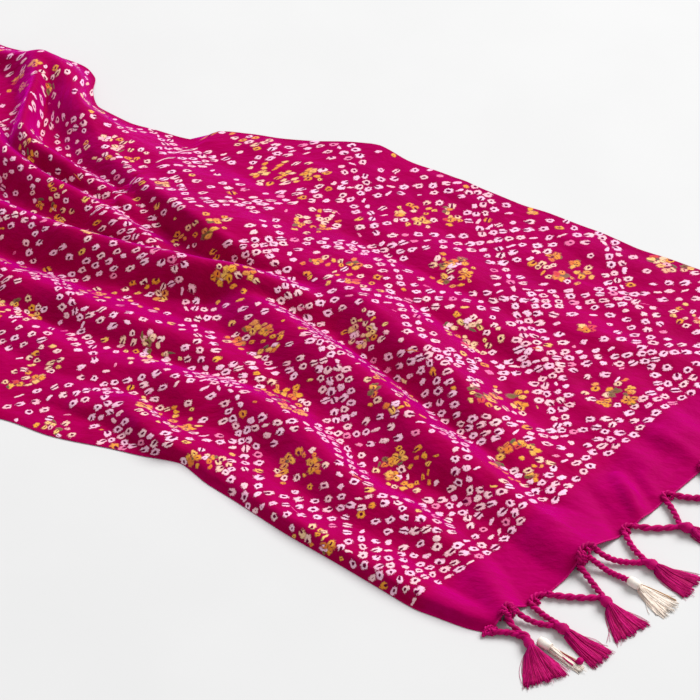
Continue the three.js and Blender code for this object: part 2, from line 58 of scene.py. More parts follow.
# the folds, one table each: x, y of the crest, height, plan width of the near flank and of the far flank
FOLDS = {
  "shoulder": [
    [-1700, 195, 0, 60, 60], [-1500, 178, 11, 60, 60], [-1300, 166, 17, 56, 56], [-1100, 172, 21, 52, 52],
    [-900, 160, 22, 48, 50], [-760, 176, 22, 44, 44], [-680, 186, 21, 44, 36], [-600, 186, 22, 44, 32],
    [-540, 172, 25, 42, 42], [-490, 142, 22, 42, 46], [-450, 116, 20, 40, 66], [-400, 92, 19, 36, 84],
    [-350, 76, 20, 30, 96], [-300, 62, 22, 24, 104], [-250, 52, 24, 20, 112], [-200, 47, 23, 20, 112],
    [-160, 50, 19, 24, 100], [-110, 58, 14, 28, 80], [-60, 64, 8, 28, 60], [-20, 66, 0, 28, 50]],
  "branch": [
    [-640, 180, 0, 30, 30], [-590, 172, 16, 34, 34], [-550, 140, 26, 38, 34], [-525, 95, 28, 36, 30],
    [-500, 58, 27, 30, 26], [-470, 44, 25, 26, 24], [-430, 42, 22, 24, 22], [-390, 41, 18, 24, 22],
    [-350, 38, 14, 22, 20], [-310, 36, 8, 20, 20], [-270, 38, 0, 20, 20]],
  "upper": [
    [-1720, 60, 0, 56, 56], [-1500, 72, 10, 54, 54], [-1300, 58, 16, 50, 50], [-1100, 74, 20, 46, 46],
    [-900, 62, 22, 44, 44], [-760, 76, 23, 44, 40], [-680, 70, 23, 42, 36], [-600, 60, 22, 42, 34],
    [-540, 35, 25, 38, 28], [-500, 20, 26, 36, 24], [-460, 12, 26, 34, 22], [-420, 9, 25, 32, 22],
    [-380, 9, 23, 30, 22], [-340, 10, 20, 28, 22], [-300, 6, 15, 24, 20], [-265, 4, 8, 22, 20], [-240, 6, 0, 20, 20]],
  "middle": [
    [-1740, -66, 0, 56, 56], [-1520, -42, 11, 56, 56], [-1300, -54, 17, 52, 52], [-1100, -34, 22, 48, 48],
    [-900, -48, 25, 46, 42], [-760, -46, 26, 44, 38], [-680, -52, 26, 42, 36], [-560, -60, 27, 40, 34],
    [-500, -63, 29, 40, 34], [-450, -63, 31, 40, 32], [-400, -60, 32, 40, 30], [-350, -53, 32, 40, 30],
    [-310, -43, 31, 40, 30], [-270, -32, 31, 40, 30], [-230, -20, 31, 40, 30], [-190, -6, 30, 38, 30],
    [-150, 9, 26, 36, 32], [-110, 20, 21, 34, 32], [-60, 31, 15, 30, 30], [-20, 40, 8, 28, 28], [20, 46, 0, 28, 28]],
  "bright": [
    [-150, 78, 0, 26, 40], [-110, 70, 8, 32, 44], [-60, 60, 18, 42, 50], [-20, 52, 23, 46, 54], [10, 44, 25, 48, 58],
    [50, 36, 26, 48, 60], [90, 26, 25, 48, 58], [130, 12, 22, 46, 54], [170, -2, 18, 44, 48], [210, -16, 13, 40, 42],
    [260, -28, 8, 36, 36], [310, -36, 4, 34, 34], [380, -42, 0, 30, 30]],
  "main": [
    [-190, 2, 0, 24, 24], [-160, -6, 12, 34, 24], [-130, -12, 19, 42, 26], [-90, -17, 22, 50, 28],
    [-50, -25, 23, 54, 30], [0, -30, 23, 56, 30], [50, -39, 23, 56, 32], [100, -54, 23, 54, 34],
    [150, -66, 21, 52, 34], [200, -71, 18, 50, 32], [240, -80, 14, 46, 28], [284, -91, 11, 46, 28],
    [312, -95, 13, 44, 38], [334, -100, 12, 40, 46], [351, -103, 13, 35, 48], [375, -107, 12, 31, 42]],
  "lower": [
    [-1680, -168, 0, 54, 54], [-1480, -146, 9, 52, 52], [-1280, -156, 15, 48, 48], [-1090, -140, 19, 44, 44],
    [-900, -150, 21, 42, 40], [-760, -140, 22, 44, 38], [-680, -140, 22, 44, 36], [-560, -142, 22, 42, 34],
    [-480, -142, 23, 38, 34], [-420, -139, 23, 34, 32], [-380, -134, 22, 32, 32], [-330, -127, 20, 32, 34],
    [-290, -122, 19, 32, 36], [-240, -114, 19, 32, 38], [-200, -106, 18, 32, 38], [-150, -98, 16, 32, 36],
    [-100, -94, 12, 30, 34], [-60, -92, 7, 28, 30], [-20, -92, 0, 26, 26]],
  "low": [
    [-1640, -236, 0, 48, 48], [-1400, -238, 9, 44, 44], [-1160, -216, 14, 40, 40], [-920, -230, 15, 38, 36],
    [-720, -212, 14, 36, 32], [-560, -206, 12, 36, 32], [-460, -194, 11, 34, 30], [-380, -187, 11, 32, 28],
    [-330, -183, 11, 32, 28], [-280, -181, 11, 32, 28], [-220, -175, 11, 34, 28], [-160, -161, 12, 36, 30],
    [-110, -147, 14, 40, 30], [-60, -134, 16, 44, 32], [-20, -129, 17, 46, 34], [20, -132, 17, 46, 34],
    [50, -140, 17, 46, 34], [80, -150, 16, 44, 34], [120, -162, 14, 42, 32], [160, -167, 12, 38, 32],
    [210, -168, 10, 34, 30], [255, -173, 5, 42, 32], [285, -185, 7, 34, 28], [312, -200, 9, 30, 26],
    [332, -209, 9.5, 28, 24], [350, -215, 7, 25, 21]],
  "edge": [
    [-940, -304, 0, 30, 34], [-760, -300, 6, 32, 34], [-560, -284, 8, 32, 34], [-420, -264, 8, 30, 34],
    [-300, -241, 3, 28, 40], [-240, -238, 3, 24, 40], [-200, -234, 4, 14, 42], [-178, -231, 7, 14, 42],
    [-159, -222, 9, 18, 40], [-141, -213, 11, 24, 38], [-122, -217, 13, 20, 38], [-105, -223, 15, 15, 38],
    [-77, -228, 15, 11, 38], [-49, -229, 11, 8, 38], [-20, -234, 8.5, 7, 42], [20, -236, 7.5, 7, 48],
    [60, -238, 8, 7, 52], [120, -240, 9.5, 8, 50], [200, -242, 10, 10, 40], [260, -240, 10, 12, 28],
    [310, -232, 8, 13, 26], [340, -224, 5, 13, 26]],
  "plateau": [
    [-170, 118, 0, 28, 40], [-120, 108, 8, 30, 44], [-50, 100, 12, 32, 46], [20, 101, 11, 32, 46],
    [100, 108, 9, 32, 42], [180, 112, 6, 32, 40], [260, 118, 0, 32, 40]],
  "ripple": [
    [-140, 180, 0, 30, 40], [-40, 172, 5, 34, 44], [30, 165, 7, 34, 44], [100, 160, 7, 32, 44], [160, 160, 5, 32, 44],
    [240, 172, 4, 30, 40], [310, 190, 4, 26, 34], [360, 205, 3, 22, 26], [410, 215, 0, 20, 24]],
}
# x, near edge, far edge
EDGES = [
  [-1850, -301, 297], [-1500, -308, 283], [-1200, -312, 262], [-1000, -322, 238], [-860, -336, 214],
  [-770, -346, 196], [-700, -350, 178], [-640, -348, 180], [-600, -344, 190], [-570, -341, 206],
  [-540, -338, 211], [-515, -335, 202], [-497, -333, 176], [-470, -330, 158], [-430, -325, 158],
  [-390, -320, 167], [-343, -312, 180], [-333, -310, 206], [-299, -303, 224], [-266, -297, 238],
  [-225, -286, 260], [-187, -280, 284], [-160, -272, 294], [-119, -257, 290], [-82, -245, 294], [-60, -235, 296], [-45, -231, 298],
  [-28, -234, 298], [-8, -238, 299], [24, -240, 300], [60, -243, 306], [98, -246, 309], [131, -247, 312],
  [166, -248, 312], [209, -250, 318], [249, -252, 322], [276, -248, 325], [305, -243, 328],
  [330, -236, 330], [440, -232, 336]]
# hem lines: y, x
HEM_A = [[-239, 327], [-215, 330], [-195, 336], [-175, 344], [-122, 354], [-103, 356], [-49, 370],
  [9, 381], [66, 391], [140, 405], [220, 421], [300, 437], [336, 444]]
HEM_B = [[-301, -1812], [-210, -1803], [-110, -1796], [0, -1800], [90, -1808], [190, -1801], [297, -1786]]
# each tassel: where its two cords start along the hem, where they join (out, y), its turn, skirt length and half width, and how far each cord bows
FRINGE_A = [
  [-236.0, -215.0, 30, -223, -35, 39, 24, 3.0, -2.0],
  [-204.5, -186.0, 38.5, -194, -8, 44, 15, -3.5, -1.0],
  [-166.5, -121.0, 41, -140, -22, 37, 20, -2.0, 1.0],
  [-96.5, -57.0, 42, -77.5, -1, 41, 18, -5.0, -2.5],
  [-43.5, 3.5, 33, -18, 8, 44, 16, -3.0, 2.0],
  [14.5, 60.5, 36, 40, 15, 43, 16, -4.0, 3.0],
  [71.5, 114.0, 33, 92, -6, 45, 15, -1.0, 4.0],
  [129.5, 175.5, 38, 153, 11, 44, 17, -5.0, 2.0],
  [187.0, 229.0, 34, 208, 3, 43, 15, 2.0, 4.0],
  [244.5, 286.0, 37, 266, 19, 44, 16, -3.0, 3.0],
  [297.0, 317.0, 30, 309, 27, 43, 15, 2.0, -1.5]]
FRINGE_B = [
  [-266.0, -248.0, 31, -258, -27, 44, 15, 2.0, 1.0],
  [-233.0, -190.0, 36, -212, -4, 43, 16, -3.0, 3.0],
  [-179.0, -133.0, 34, -157, -3, 45, 16, -4.0, 2.0],
  [-117.5, -74.0, 38, -95, 4, 44, 17, -2.0, 4.0],
  [-62.5, -15.5, 33, -40, 9, 43, 15, 3.0, 3.0],
  [-4.0, 41.0, 37, 21, -12, 44, 16, -4.0, -1.0],
  [56.5, 99.5, 34, 76, 2, 44, 16, -3.0, 4.0],
  [111.0, 159.0, 39, 135, -9, 43, 17, 2.0, 4.0],
  [170.5, 211.0, 33, 190, -3, 45, 15, -4.0, 2.0],
  [226.5, 256.5, 35, 240, 4, 44, 16, -3.0, 2.0],
  [266.5, 280.5, 30, 275, 25, 43, 13, -0.5, 0.5]]
# each cream tassel: where its cord starts (y, out), where its bead is (out, y), its turn, skirt length and half width
CREAM_A = [
  [-220.8, 42.5, 49.0, -220.0, -4, 34, 5],
  [-108.8, 3.0, 55.0, -107.5, -7, 36, 13],
  [121.8, 3.0, 52.0, 123.5, 4, 41, 10],
  [236.8, 3.0, 55.0, 237.0, 6, 42, 10]]
CREAM_B = [
  [-240.5, 3.0, 54.0, -238.5, -12, 41, 6],
  [-125.2, 3.0, 55.0, -125.5, -3, 42, 10],
  [48.8, 3.0, 53.0, 48.0, -4, 41, 10],
  [218.8, 3.0, 56.0, 216.0, -2, 42, 9]]

# ---------------------------------------------------------------- curves and the draped surface


def hermite(xs, ys, x):
    """A smooth curve through the rows that never overshoots them, held level past both ends."""
    x = np.clip(x, xs[0], xs[-1])
    i = np.clip(np.searchsorted(xs, x, side="right") - 1, 0, len(xs) - 2)
    d = np.diff(ys) / np.diff(xs)
    m = np.zeros_like(ys)
    same = d[:-1] * d[1:] > 0
    m[1:-1] = np.where(same, 2 * d[:-1] * d[1:] / np.where(same, d[:-1] + d[1:], 1), 0)
    m[0] = d[0]
    h = xs[i + 1] - xs[i]
    t = (x - xs[i]) / h
    return (
        (2 * t**3 - 3 * t**2 + 1) * ys[i]
        + (t**3 - 2 * t**2 + t) * h * m[i]
        + (-2 * t**3 + 3 * t**2) * ys[i + 1]
        + (t**3 - t**2) * h * m[i + 1]
    )


def ease(t):
    t = np.clip(t, 0, 1)
    return t * t * (3 - 2 * t)


EDGE = np.array(EDGES, float)
A_LINE, B_LINE = np.array(HEM_A, float), np.array(HEM_B, float)
FOLD = {k: np.array(v, float) for k, v in FOLDS.items()}


def near_edge(x):
    return hermite(EDGE[:, 0], EDGE[:, 1], x)


def far_edge(x):
    return hermite(EDGE[:, 0], EDGE[:, 2], x)


def hem_a(y):
    return hermite(A_LINE[:, 0], A_LINE[:, 1], y)


def hem_b(y):
    return hermite(B_LINE[:, 0], B_LINE[:, 1], y)


def rolls(x, y):
    """The main folds, as in the solid."""
    total = np.zeros(np.broadcast(x, y).shape)
    for rows in FOLD.values():
        inside = (x >= rows[0, 0]) & (x <= rows[-1, 0])
        crest, tall, near, far = (hermite(rows[:, 0], rows[:, k], x) for k in (1, 2, 3, 4))
        t = np.clip((y - crest) / np.where(y < crest, near, far), -1, 1)
        one = np.maximum(tall * np.maximum(np.cos(t * np.pi / 2), 0) ** ROLL, 0)
        total += np.where(inside, one, 0) ** JOIN_POWER
    return total ** (1 / JOIN_POWER)


def pinched(x, y):
    """A lip along the top of each fold, a share of its height: it eases up on the near side and drops at once behind."""
    most = np.zeros(np.broadcast(x, y).shape)
    for name, rows in FOLD.items():
        if name == "edge":
            continue
        inside = (x >= rows[0, 0]) & (x <= rows[-1, 0])
        crest, tall = (hermite(rows[:, 0], rows[:, k], x) for k in (1, 2))
        past = y - crest
        line = PINCH * np.clip(tall, 0, 30) * np.where(past > 0, np.exp(-np.maximum(past, 0) / 6.0), np.exp(np.minimum(past, 0) / 24.0))
        most = np.maximum(most, np.where(inside, line, 0))
    return most


def crease(x, y, row):
    """One soft ridge (or trough) through three points, with its own width and height."""
    x0, y0, x1, y1, x2, y2, wide, tall = row
    best = np.full(np.broadcast(x, y).shape, 1e9)
    along = np.zeros_like(best)
    pts = [(x0, y0), (x1, y1), (x2, y2)]
    for k, ((ax, ay), (bx, by)) in enumerate(zip(pts, pts[1:])):
        dx, dy = bx - ax, by - ay
        n = dx * dx + dy * dy
        t = np.clip(((x - ax) * dx + (y - ay) * dy) / n, 0, 1)
        d = np.hypot(x - ax - t * dx, y - ay - t * dy)
        nearer = d < best
        best = np.where(nearer, d, best)
        along = np.where(nearer, (k + t) / 2, along)
    ends = np.sin(np.pi * np.clip(along, 0, 1)) ** 0.7
    return tall * ends * np.exp(-((best / wide) ** 2) * 1.6)


WAVES = []
_r = random.Random(41)
for _ in range(26):
    turn = _r.gauss(0, 0.22) - 0.20
    cross = 2 * math.pi / _r.uniform(34, 95)
    lengthways = 2 * math.pi / _r.uniform(150, 420)
    WAVES.append((lengthways * _r.choice((-1, 1)), cross, turn, _r.uniform(0, 6.28), _r.uniform(0.5, 1.0) * 14 / (14 + 560 * cross * 0.1)))


def unrest(x, y):
    """Small unevenness of a soft cloth between its folds."""
    z = np.zeros(np.broadcast(x, y).shape)
    for kx, ky, turn, phase, size in WAVES:
        c, s = math.cos(turn), math.sin(turn)
        a, b = x * c + y * s, -x * s + y * c
        z += size * np.sin(a * kx + b * ky + phase)
    return z


def height(x, y):
    z = rolls(x, y)
    z = z + UNREST * (unrest(x, y) + 1.2) + pinched(x, y)
    for row in CREASES:
        z = z + crease(x, y, row)
    z = np.maximum(z, 0.0)
    z = z * ease((y - near_edge(x)) / NEAR_ROLL)
    return z * (FAR_LIFT + (1 - FAR_LIFT) * ease((far_edge(x) - y) / FAR_ROLL))


def station_x(s, y):
    x0 = MID_A + (MID_B - MID_A) * s
    a = np.maximum(1 - (MID_A - x0) / SKEW_DIES, 0)
    b = np.maximum(1 - (x0 - MID_B) / SKEW_DIES, 0)
    return x0 + a * (hem_a(y) - MID_A) + b * (hem_b(y) - MID_B)


def draped(shares, across):
    """Points on the underside at those shares of the length, evenly spaced over the cloth's width."""
    s = np.asarray(shares)[:, None]
    y0, y1 = np.full_like(s, -250.0), np.full_like(s, 250.0)
    for _ in range(12):
        y0, y1 = near_edge(station_x(s, y0)), far_edge(station_x(s, y1))
    fine = 480
    t = np.linspace(0, 1, fine + 1)[None, :]
    y = y0 + (y1 - y0) * t
    x = station_x(s, y)
    z = height(x, y)
    raw = np.stack([x, y, z], 2)
    arc = np.concatenate([np.zeros((len(s), 1)), np.cumsum(np.linalg.norm(np.diff(raw, axis=1), axis=2), 1)], 1)
    out = np.empty((len(s), across + 1, 3))
    for i in range(len(s)):
        want = np.linspace(0, arc[i, -1], across + 1)
        for k in range(3):
            out[i, :, k] = np.interp(want, arc[i], raw[i, :, k])
    return out, arc[:, -1]


# small folds: three points (mm), then half width and height
UNREST = 0.55
PINCH = 0.12
CREASES = [
    (300, 80, 350, 75, 402, 68, 13, 5.5),
    (296, 96, 345, 91, 400, 86, 22, 5.0),
    (262, -84, 320, -91, 369, -97, 5, 1.4),
    (318, 8, 348, -10, 378, -34, 11, 8.0),
    (306, -26, 336, -41, 366, -58, 11, -3.0),
    (338, 24, 358, 11, 384, -3, 9, 3.2),
    (292, 44, 330, 40, 372, 26, 16, 3.0),
    (170, -128, 250, -140, 330, -150, 30, -3.0),
    (392, 150, 402, 140, 412, 132, 12, 4.0),
]

# ---------------------------------------------------------------- camera, floor and light
ELEVATION, AZIMUTH, DISTANCE = math.radians(45), math.radians(35), 2.55
camera = bpy.data.objects.new("camera", bpy.data.cameras.new("camera"))
bpy.context.scene.collection.objects.link(camera)
camera.data.lens, camera.data.sensor_width = 123.43, 36.0
camera.data.clip_start, camera.data.clip_end = 0.05, 60.0
camera.location = (
    SHIFT[0] + DISTANCE * math.cos(ELEVATION) * math.sin(AZIMUTH),
    SHIFT[1] - DISTANCE * math.cos(ELEVATION) * math.cos(AZIMUTH),
    DISTANCE * math.sin(ELEVATION),
)
camera.rotation_euler = (math.pi / 2 - ELEVATION, 0.0, AZIMUTH)
bpy.context.scene.camera = camera
bpy.context.scene.view_settings.view_transform = "Standard"
bpy.context.scene.view_settings.look = "None"


def srgb(*rgb):
    return tuple((c / 255 / 12.92) if c <= 10.31 else ((c / 255 + 0.055) / 1.055) ** 2.4 for c in rgb)


def light(name, place, aim, size, power, colour=(1, 1, 1)):
    data = bpy.data.lights.new(name, "AREA")
    data.shape, data.size, data.energy, data.color = "DISK", size, power, colour
    obj = bpy.data.objects.new(name, data)
    bpy.context.scene.collection.objects.link(obj)
    place, aim = np.array(place, float), np.array(aim, float)
    way = aim - place
    obj.location = place
    flat = math.hypot(way[0], way[1])
    obj.rotation_euler = (math.pi / 2 + math.atan2(way[2], flat), 0, math.atan2(way[1], way[0]) - math.pi / 2)
    return obj


KEY = np.array([0.12, 0.72, 0.68])
centre = SHIFT + np.array([-0.05, 0.0, 0.0])
light("key", centre + KEY * 14.0, centre, 9.0, 2560.0)
world = bpy.data.worlds.new("studio")
bpy.context.scene.world = world
world.use_nodes = True
world.node_tree.nodes["Background"].inputs["Color"].default_value = (1.0, 1.0, 1.0, 1)
world.node_tree.nodes["Background"].inputs["Strength"].default_value = 0.50


# ---------------------------------------------------------------- nodes
class Graph:
    """Small helper for writing shader graphs as sums."""

    def __init__(self, material):
        material.use_nodes = True
        self.tree = material.node_tree
        self.tree.nodes.clear()
        self.x = 0

    def node(self, kind, **settings):
        n = self.tree.nodes.new(kind)
        self.x += 1
        n.location = ((self.x % 24) * 170, -(self.x // 24) * 240)
        for k, v in settings.items():
            setattr(n, k, v)
        return n

    def put(self, socket, value):
        if hasattr(value, "is_output") or isinstance(value, bpy.types.NodeSocket):
            self.tree.links.new(value, socket)
        else:
            socket.default_value = value

    def math(self, op, a, b=None, c=None, clamp=False):
        n = self.node("ShaderNodeMath", operation=op, use_clamp=clamp)
        for k, v in enumerate((a, b, c)):
            if v is not None:
                self.put(n.inputs[k], v)
        return n.outputs[0]

    def vec(self, op, a, b=None, scale=None):
        n = self.node("ShaderNodeVectorMath", operation=op)
        self.put(n.inputs[0], a)
        if b is not None:
            self.put(n.inputs[1], b)
        if scale is not None:
            self.put(n.inputs["Scale"], scale)
        return n.outputs["Value"] if op in ("LENGTH", "DOT_PRODUCT", "DISTANCE") else n.outputs[0]

    def split(self, v):
        n = self.node("ShaderNodeSeparateXYZ")
        self.put(n.inputs[0], v)
        return n.outputs[0], n.outputs[1], n.outputs[2]

    def join(self, x, y, z):
        n = self.node("ShaderNodeCombineXYZ")
        for k, v in enumerate((x, y, z)):
            self.put(n.inputs[k], v)
        return n.outputs[0]

    def ramp(self, value, a, b, c=0.0, d=1.0, smooth=True):
        n = self.node("ShaderNodeMapRange", interpolation_type="SMOOTHSTEP" if smooth else "LINEAR")
        for k, v in enumerate((value, a, b, c, d)):
            self.put(n.inputs[k], v)
        return n.outputs[0]

    def mix(self, share, a, b, blend="MIX"):
        n = self.node("ShaderNodeMix", data_type="RGBA", blend_type=blend)
        self.put(n.inputs[0], share)
        self.put(n.inputs[6], a)
        self.put(n.inputs[7], b)
        return n.outputs[2]

    def noise(self, vector, scale, detail=2.0, rough=0.5, distortion=0.0):
        n = self.node("ShaderNodeTexNoise")
        self.put(n.inputs["Vector"], vector)
        n.inputs["Scale"].default_value = scale
        n.inputs["Detail"].default_value = detail
        n.inputs["Roughness"].default_value = rough
        n.inputs["Distortion"].default_value = distortion
        return n.outputs[0], n.outputs[1]

    def attribute(self, name):
        n = self.node("ShaderNodeAttribute", attribute_type="GEOMETRY", attribute_name=name)
        return n.outputs["Vector"]

    def fact(self, name):
        n = self.node("ShaderNodeAttribute", attribute_type="GEOMETRY", attribute_name=name)
        return n.outputs["Fac"]

    def uv(self, name):
        return self.node("ShaderNodeUVMap", uv_map=name).outputs[0]

    def bump(self, height, strength, distance, normal=None):
        n = self.node("ShaderNodeBump")
        n.inputs["Strength"].default_value = strength
        n.inputs["Distance"].default_value = distance
        self.put(n.inputs["Height"], height)
        if normal is not None:
            self.put(n.inputs["Normal"], normal)
        return n.outputs[0]

    def shader(self, colour, roughness, normal=None, **sockets):
        n = self.node("ShaderNodeBsdfPrincipled")
        self.put(n.inputs["Base Color"], colour)
        self.put(n.inputs["Roughness"], roughness)
        if normal is not None:
            self.put(n.inputs["Normal"], normal)
        for k, v in sockets.items():
            n.inputs[k.replace("_", " ")].default_value = v
        out = self.node("ShaderNodeOutputMaterial")
        self.tree.links.new(n.outputs[0], out.inputs[0])
        return n


def rgba(*rgb):
    return (*srgb(*rgb), 1.0)


# ---------------------------------------------------------------- meshes
def object_of(name, verts, faces, materials, smooth=True, uv=None, uv_name="Thread", facts=None, kinds=None):
    """faces is a list of index tuples. uv is one pair for each corner in order, facts {name: one number a face}."""
    me = bpy.data.meshes.new(name)
    me.from_pydata([tuple(v) for v in verts], [], faces)
    if smooth:
        me.shade_smooth()
    for m in materials if isinstance(materials, (list, tuple)) else [materials]:
        me.materials.append(m)
    if uv is not None:
        layer = me.uv_layers.new(name=uv_name, do_init=False)
        layer.uv.foreach_set("vector", np.asarray(uv, np.float32).ravel())
    for key, values in (facts or {}).items():
        me.attributes.new(key, "FLOAT", "FACE").data.foreach_set("value", np.asarray(values, np.float32))
    if kinds is not None:
        me.polygons.foreach_set("material_index", np.asarray(kinds, np.int32))
    me.validate()
    me.update()
    obj = bpy.data.objects.new(name, me)
    bpy.context.scene.collection.objects.link(obj)
    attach(obj, "root")
    return obj


class Yarns:
    """Many tubes gathered into one mesh, each with its own shade."""

    def __init__(self):
        self.v, self.f, self.uv, self.shade, self.kind = [], [], [], [], []
        self.count = 0

    def tube(self, path, radius, sides=6, shade=0.5, kind=0, caps=True, up=(0, 0, 1), flat=1.0, spin=0.0):
        path = np.asarray(path, float)
        n = len(path)
        radius = np.broadcast_to(np.asarray(radius, float), (n,))
        way = np.gradient(path, axis=0)
        way /= np.maximum(np.linalg.norm(way, axis=1, keepdims=True), 1e-12)
        up = np.asarray(up, float)
        side = np.cross(way, up)
        weak = np.linalg.norm(side, axis=1) < 1e-3
        side[weak] = np.cross(way[weak], (0.3, 1.0, 0.1))
        side /= np.linalg.norm(side, axis=1, keepdims=True)
        # carried along the path, so the tube never twists on itself
        for k in range(1, n):
            s = side[k - 1] - way[k] * np.dot(side[k - 1], way[k])
            L = np.linalg.norm(s)
            if L > 1e-6:
                side[k] = s / L
        lift = np.cross(side, way)
        a = np.arange(sides) * 2 * np.pi / sides + spin
        ring = path[:, None, :] + radius[:, None, None] * (
            np.cos(a)[None, :, None] * side[:, None, :] + flat * np.sin(a)[None, :, None] * lift[:, None, :]
        )
        base = self.count
        self.v.extend(ring.reshape(-1, 3))
        self.count += n * sides
        run = np.concatenate([[0], np.cumsum(np.linalg.norm(np.diff(path, axis=0), axis=1))])
        for i in range(n - 1):
            for k in range(sides):
                m = (k + 1) % sides
                self.f.append((base + i * sides + k, base + i * sides + m, base + (i + 1) * sides + m, base + (i + 1) * sides + k))
                self.uv += [(run[i], k / sides), (run[i], (k + 1) / sides), (run[i + 1], (k + 1) / sides), (run[i + 1], k / sides)]
                self.shade.append(shade)
                self.kind.append(kind)
        if caps:
            for ring_at, order in ((0, range(sides - 1, -1, -1)), (n - 1, range(sides))):
                self.f.append(tuple(base + ring_at * sides + k for k in order))
                self.uv += [(run[ring_at], 0.5)] * sides
                self.shade.append(shade)
                self.kind.append(kind)

    def solid(self, verts, faces, shade=0.5, kind=0, uv=None):
        base = self.count
        self.v.extend(verts)
        self.count += len(verts)
        for i, face in enumerate(faces):
            self.f.append(tuple(base + k for k in face))
            self.uv += [(0.0, 0.0)] * len(face) if uv is None else [uv[k] for k in face]
            self.shade.append(shade)
            self.kind.append(kind)

    def made(self, name, materials):
        return object_of(name, self.v, self.f, materials, uv=self.uv, facts={"shade": self.shade}, kinds=self.kind)


# ---------------------------------------------------------------- the print: where each mark lies on the flat cloth
# u runs along the length from the open end's hem, v across from the near edge, both in metres
HALF_U, HALF_V = 0.0815, 0.0752  # half diagonals of the lattice of diamonds
BORDER = 0.0745  # plain band at each end
WHITE = srgb(255, 214, 234)
BLUSH = srgb(246, 150, 180)
ROSE = srgb(235, 96, 150)
YELLOW = srgb(246, 178, 36)
PALE = srgb(252, 216, 124)
BROWN = srgb(96, 40, 20)
CREAMY = srgb(255, 214, 176)
CREAM_WHITE = srgb(255, 218, 218)
ORANGE = srgb(236, 134, 28)
RUST = srgb(214, 78, 40)
OLIVE = srgb(112, 108, 30)
GREEN = srgb(86, 104, 44)
dice = random.Random(2024)


class Print:
    def __init__(self):
        self.marks = []
        self.cells = {}

    def free(self, u, v, gap):
        cu, cv = int(u // 0.02), int(v // 0.02)
        for i in (-1, 0, 1):
            for j in (-1, 0, 1):
                for k in self.cells.get((cu + i, cv + j), ()):
                    m = self.marks[k]
                    if math.hypot(m[0] - u, m[1] - v) < gap:
                        return False
        return True

    def add(self, u, v, turn, a, b, hx, hy, oy, colour, soft=0.13):
        self.cells.setdefault((int(u // 0.02), int(v // 0.02)), []).append(len(self.marks))
        self.marks.append((u, v, turn, a, b, hx, hy, oy, soft, *colour))

    def ring(self, u, v, lean=0.0, size=1.0, colour=None, gap=0.0083, spread=0.20):
        if not inside(u, v) or not self.free(u, v, gap):
            return False
        kind = dice.random()
        size *= 1.035 - 0.50 * thinner(u)
        a = 0.0038 * size * dice.uniform(0.98 - spread, 0.98 + spread)
        b = 0.0043 * size * dice.uniform(1.0 - spread, 1.0 + spread)
        turn = lean + dice.gauss(0, 0.42)
        if colour is None:
            pick = dice.random()
            if pick < 0.62:
                colour = blend(WHITE, BLUSH, dice.uniform(0, 0.30))
            elif pick < 0.965:
                colour = blend(CREAM_WHITE, BLUSH, dice.uniform(0, 0.35))
            else:
                colour = blend(BLUSH, ROSE, dice.uniform(0.1, 0.5))
        if kind < 0.42:  # closed, with its small dark middle
            self.add(u, v, turn, a, b, dice.uniform(0.30, 0.48), dice.uniform(0.34, 0.54), dice.uniform(-0.18, 0.18), colour)
        elif kind < 0.74:  # open on one side
            self.add(u, v, turn, a, b, dice.uniform(0.30, 0.44), dice.uniform(0.50, 0.78), dice.choice((-1, 1)) * dice.uniform(0.35, 0.62), colour)
        elif kind < 0.86:  # closed over, smaller
            self.add(u, v, turn, a * dice.uniform(0.62, 0.90), b * dice.uniform(0.7, 0.95), 0.10, dice.uniform(0.12, 0.4), dice.uniform(-0.3, 0.3), colour)
        elif kind < 0.93:  # only a sliver of it took
            self.add(u + dice.gauss(0, 0.0008), v, turn, a * dice.uniform(0.34, 0.52), b * dice.uniform(0.85, 1.1), 0.05, 0.10, 0.0, colour)
        else:  # split in two
            self.add(u, v, turn, a, b, dice.uniform(0.24, 0.34), 1.5, 0.0, colour)
        return True

    def petal(self, u, v, turn, long, wide, colour, vein=0.16):
        if not inside(u, v):
            return
        self.add(u, v, turn, wide, long, vein, dice.uniform(0.3, 0.6), dice.uniform(-0.3, 0.3), colour, 0.2)


def blend(a, b, t):
    return tuple(x + (y - x) * t for x, y in zip(a, b))


def inside(u, v):
    return BORDER + 0.002 < u < FLAT_LENGTH - BORDER - 0.002 and abs(v) < FLAT_WIDTH / 2 - 0.0015


def wander(v, seed):
    return 0.0030 * math.sin(v * 21 + seed) + 0.0022 * math.sin(v * 47 + seed * 2.7)


def blossom(pr, u, v, size, colours, lumps=None):
    """A bloom: rounded petals that meet round a dark heart, one or two of them in another colour."""
    lumps = lumps or dice.choice((3, 4, 4, 5))
    start, flat, way = dice.uniform(0, math.tau), dice.uniform(0.62, 1.0), dice.uniform(0, math.pi)
    for k in range(lumps):
        a = start + math.tau * k / lumps + dice.gauss(0, 0.26)
        r = size * dice.uniform(0.52, 0.70)
        x, y = r * math.cos(a), r * math.sin(a) * flat
        colour = dice.choice(colours)
        colour = blend(colour, PALE, dice.uniform(0, 0.5)) if dice.random() < 0.5 else blend(colour, ORANGE, dice.uniform(0, 0.5))
        if dice.random() < 0.22:
            colour = dice.choice((WHITE, OLIVE, OLIVE, RUST, CREAMY))
        pr.petal(u + x * math.cos(way) - y * math.sin(way), v + x * math.sin(way) + y * math.cos(way), a + way - math.pi / 2 + dice.gauss(0, 0.5), size * dice.uniform(0.42, 0.60), size * dice.uniform(0.34, 0.48), colour, dice.choice((0.02, 0.10, 0.18, 0.28)))
    pr.petal(u, v, dice.uniform(0, 3.1), size * dice.uniform(0.20, 0.32), size * dice.uniform(0.12, 0.20), dice.choice((OLIVE, BROWN, BROWN, GREEN)), 0.02)


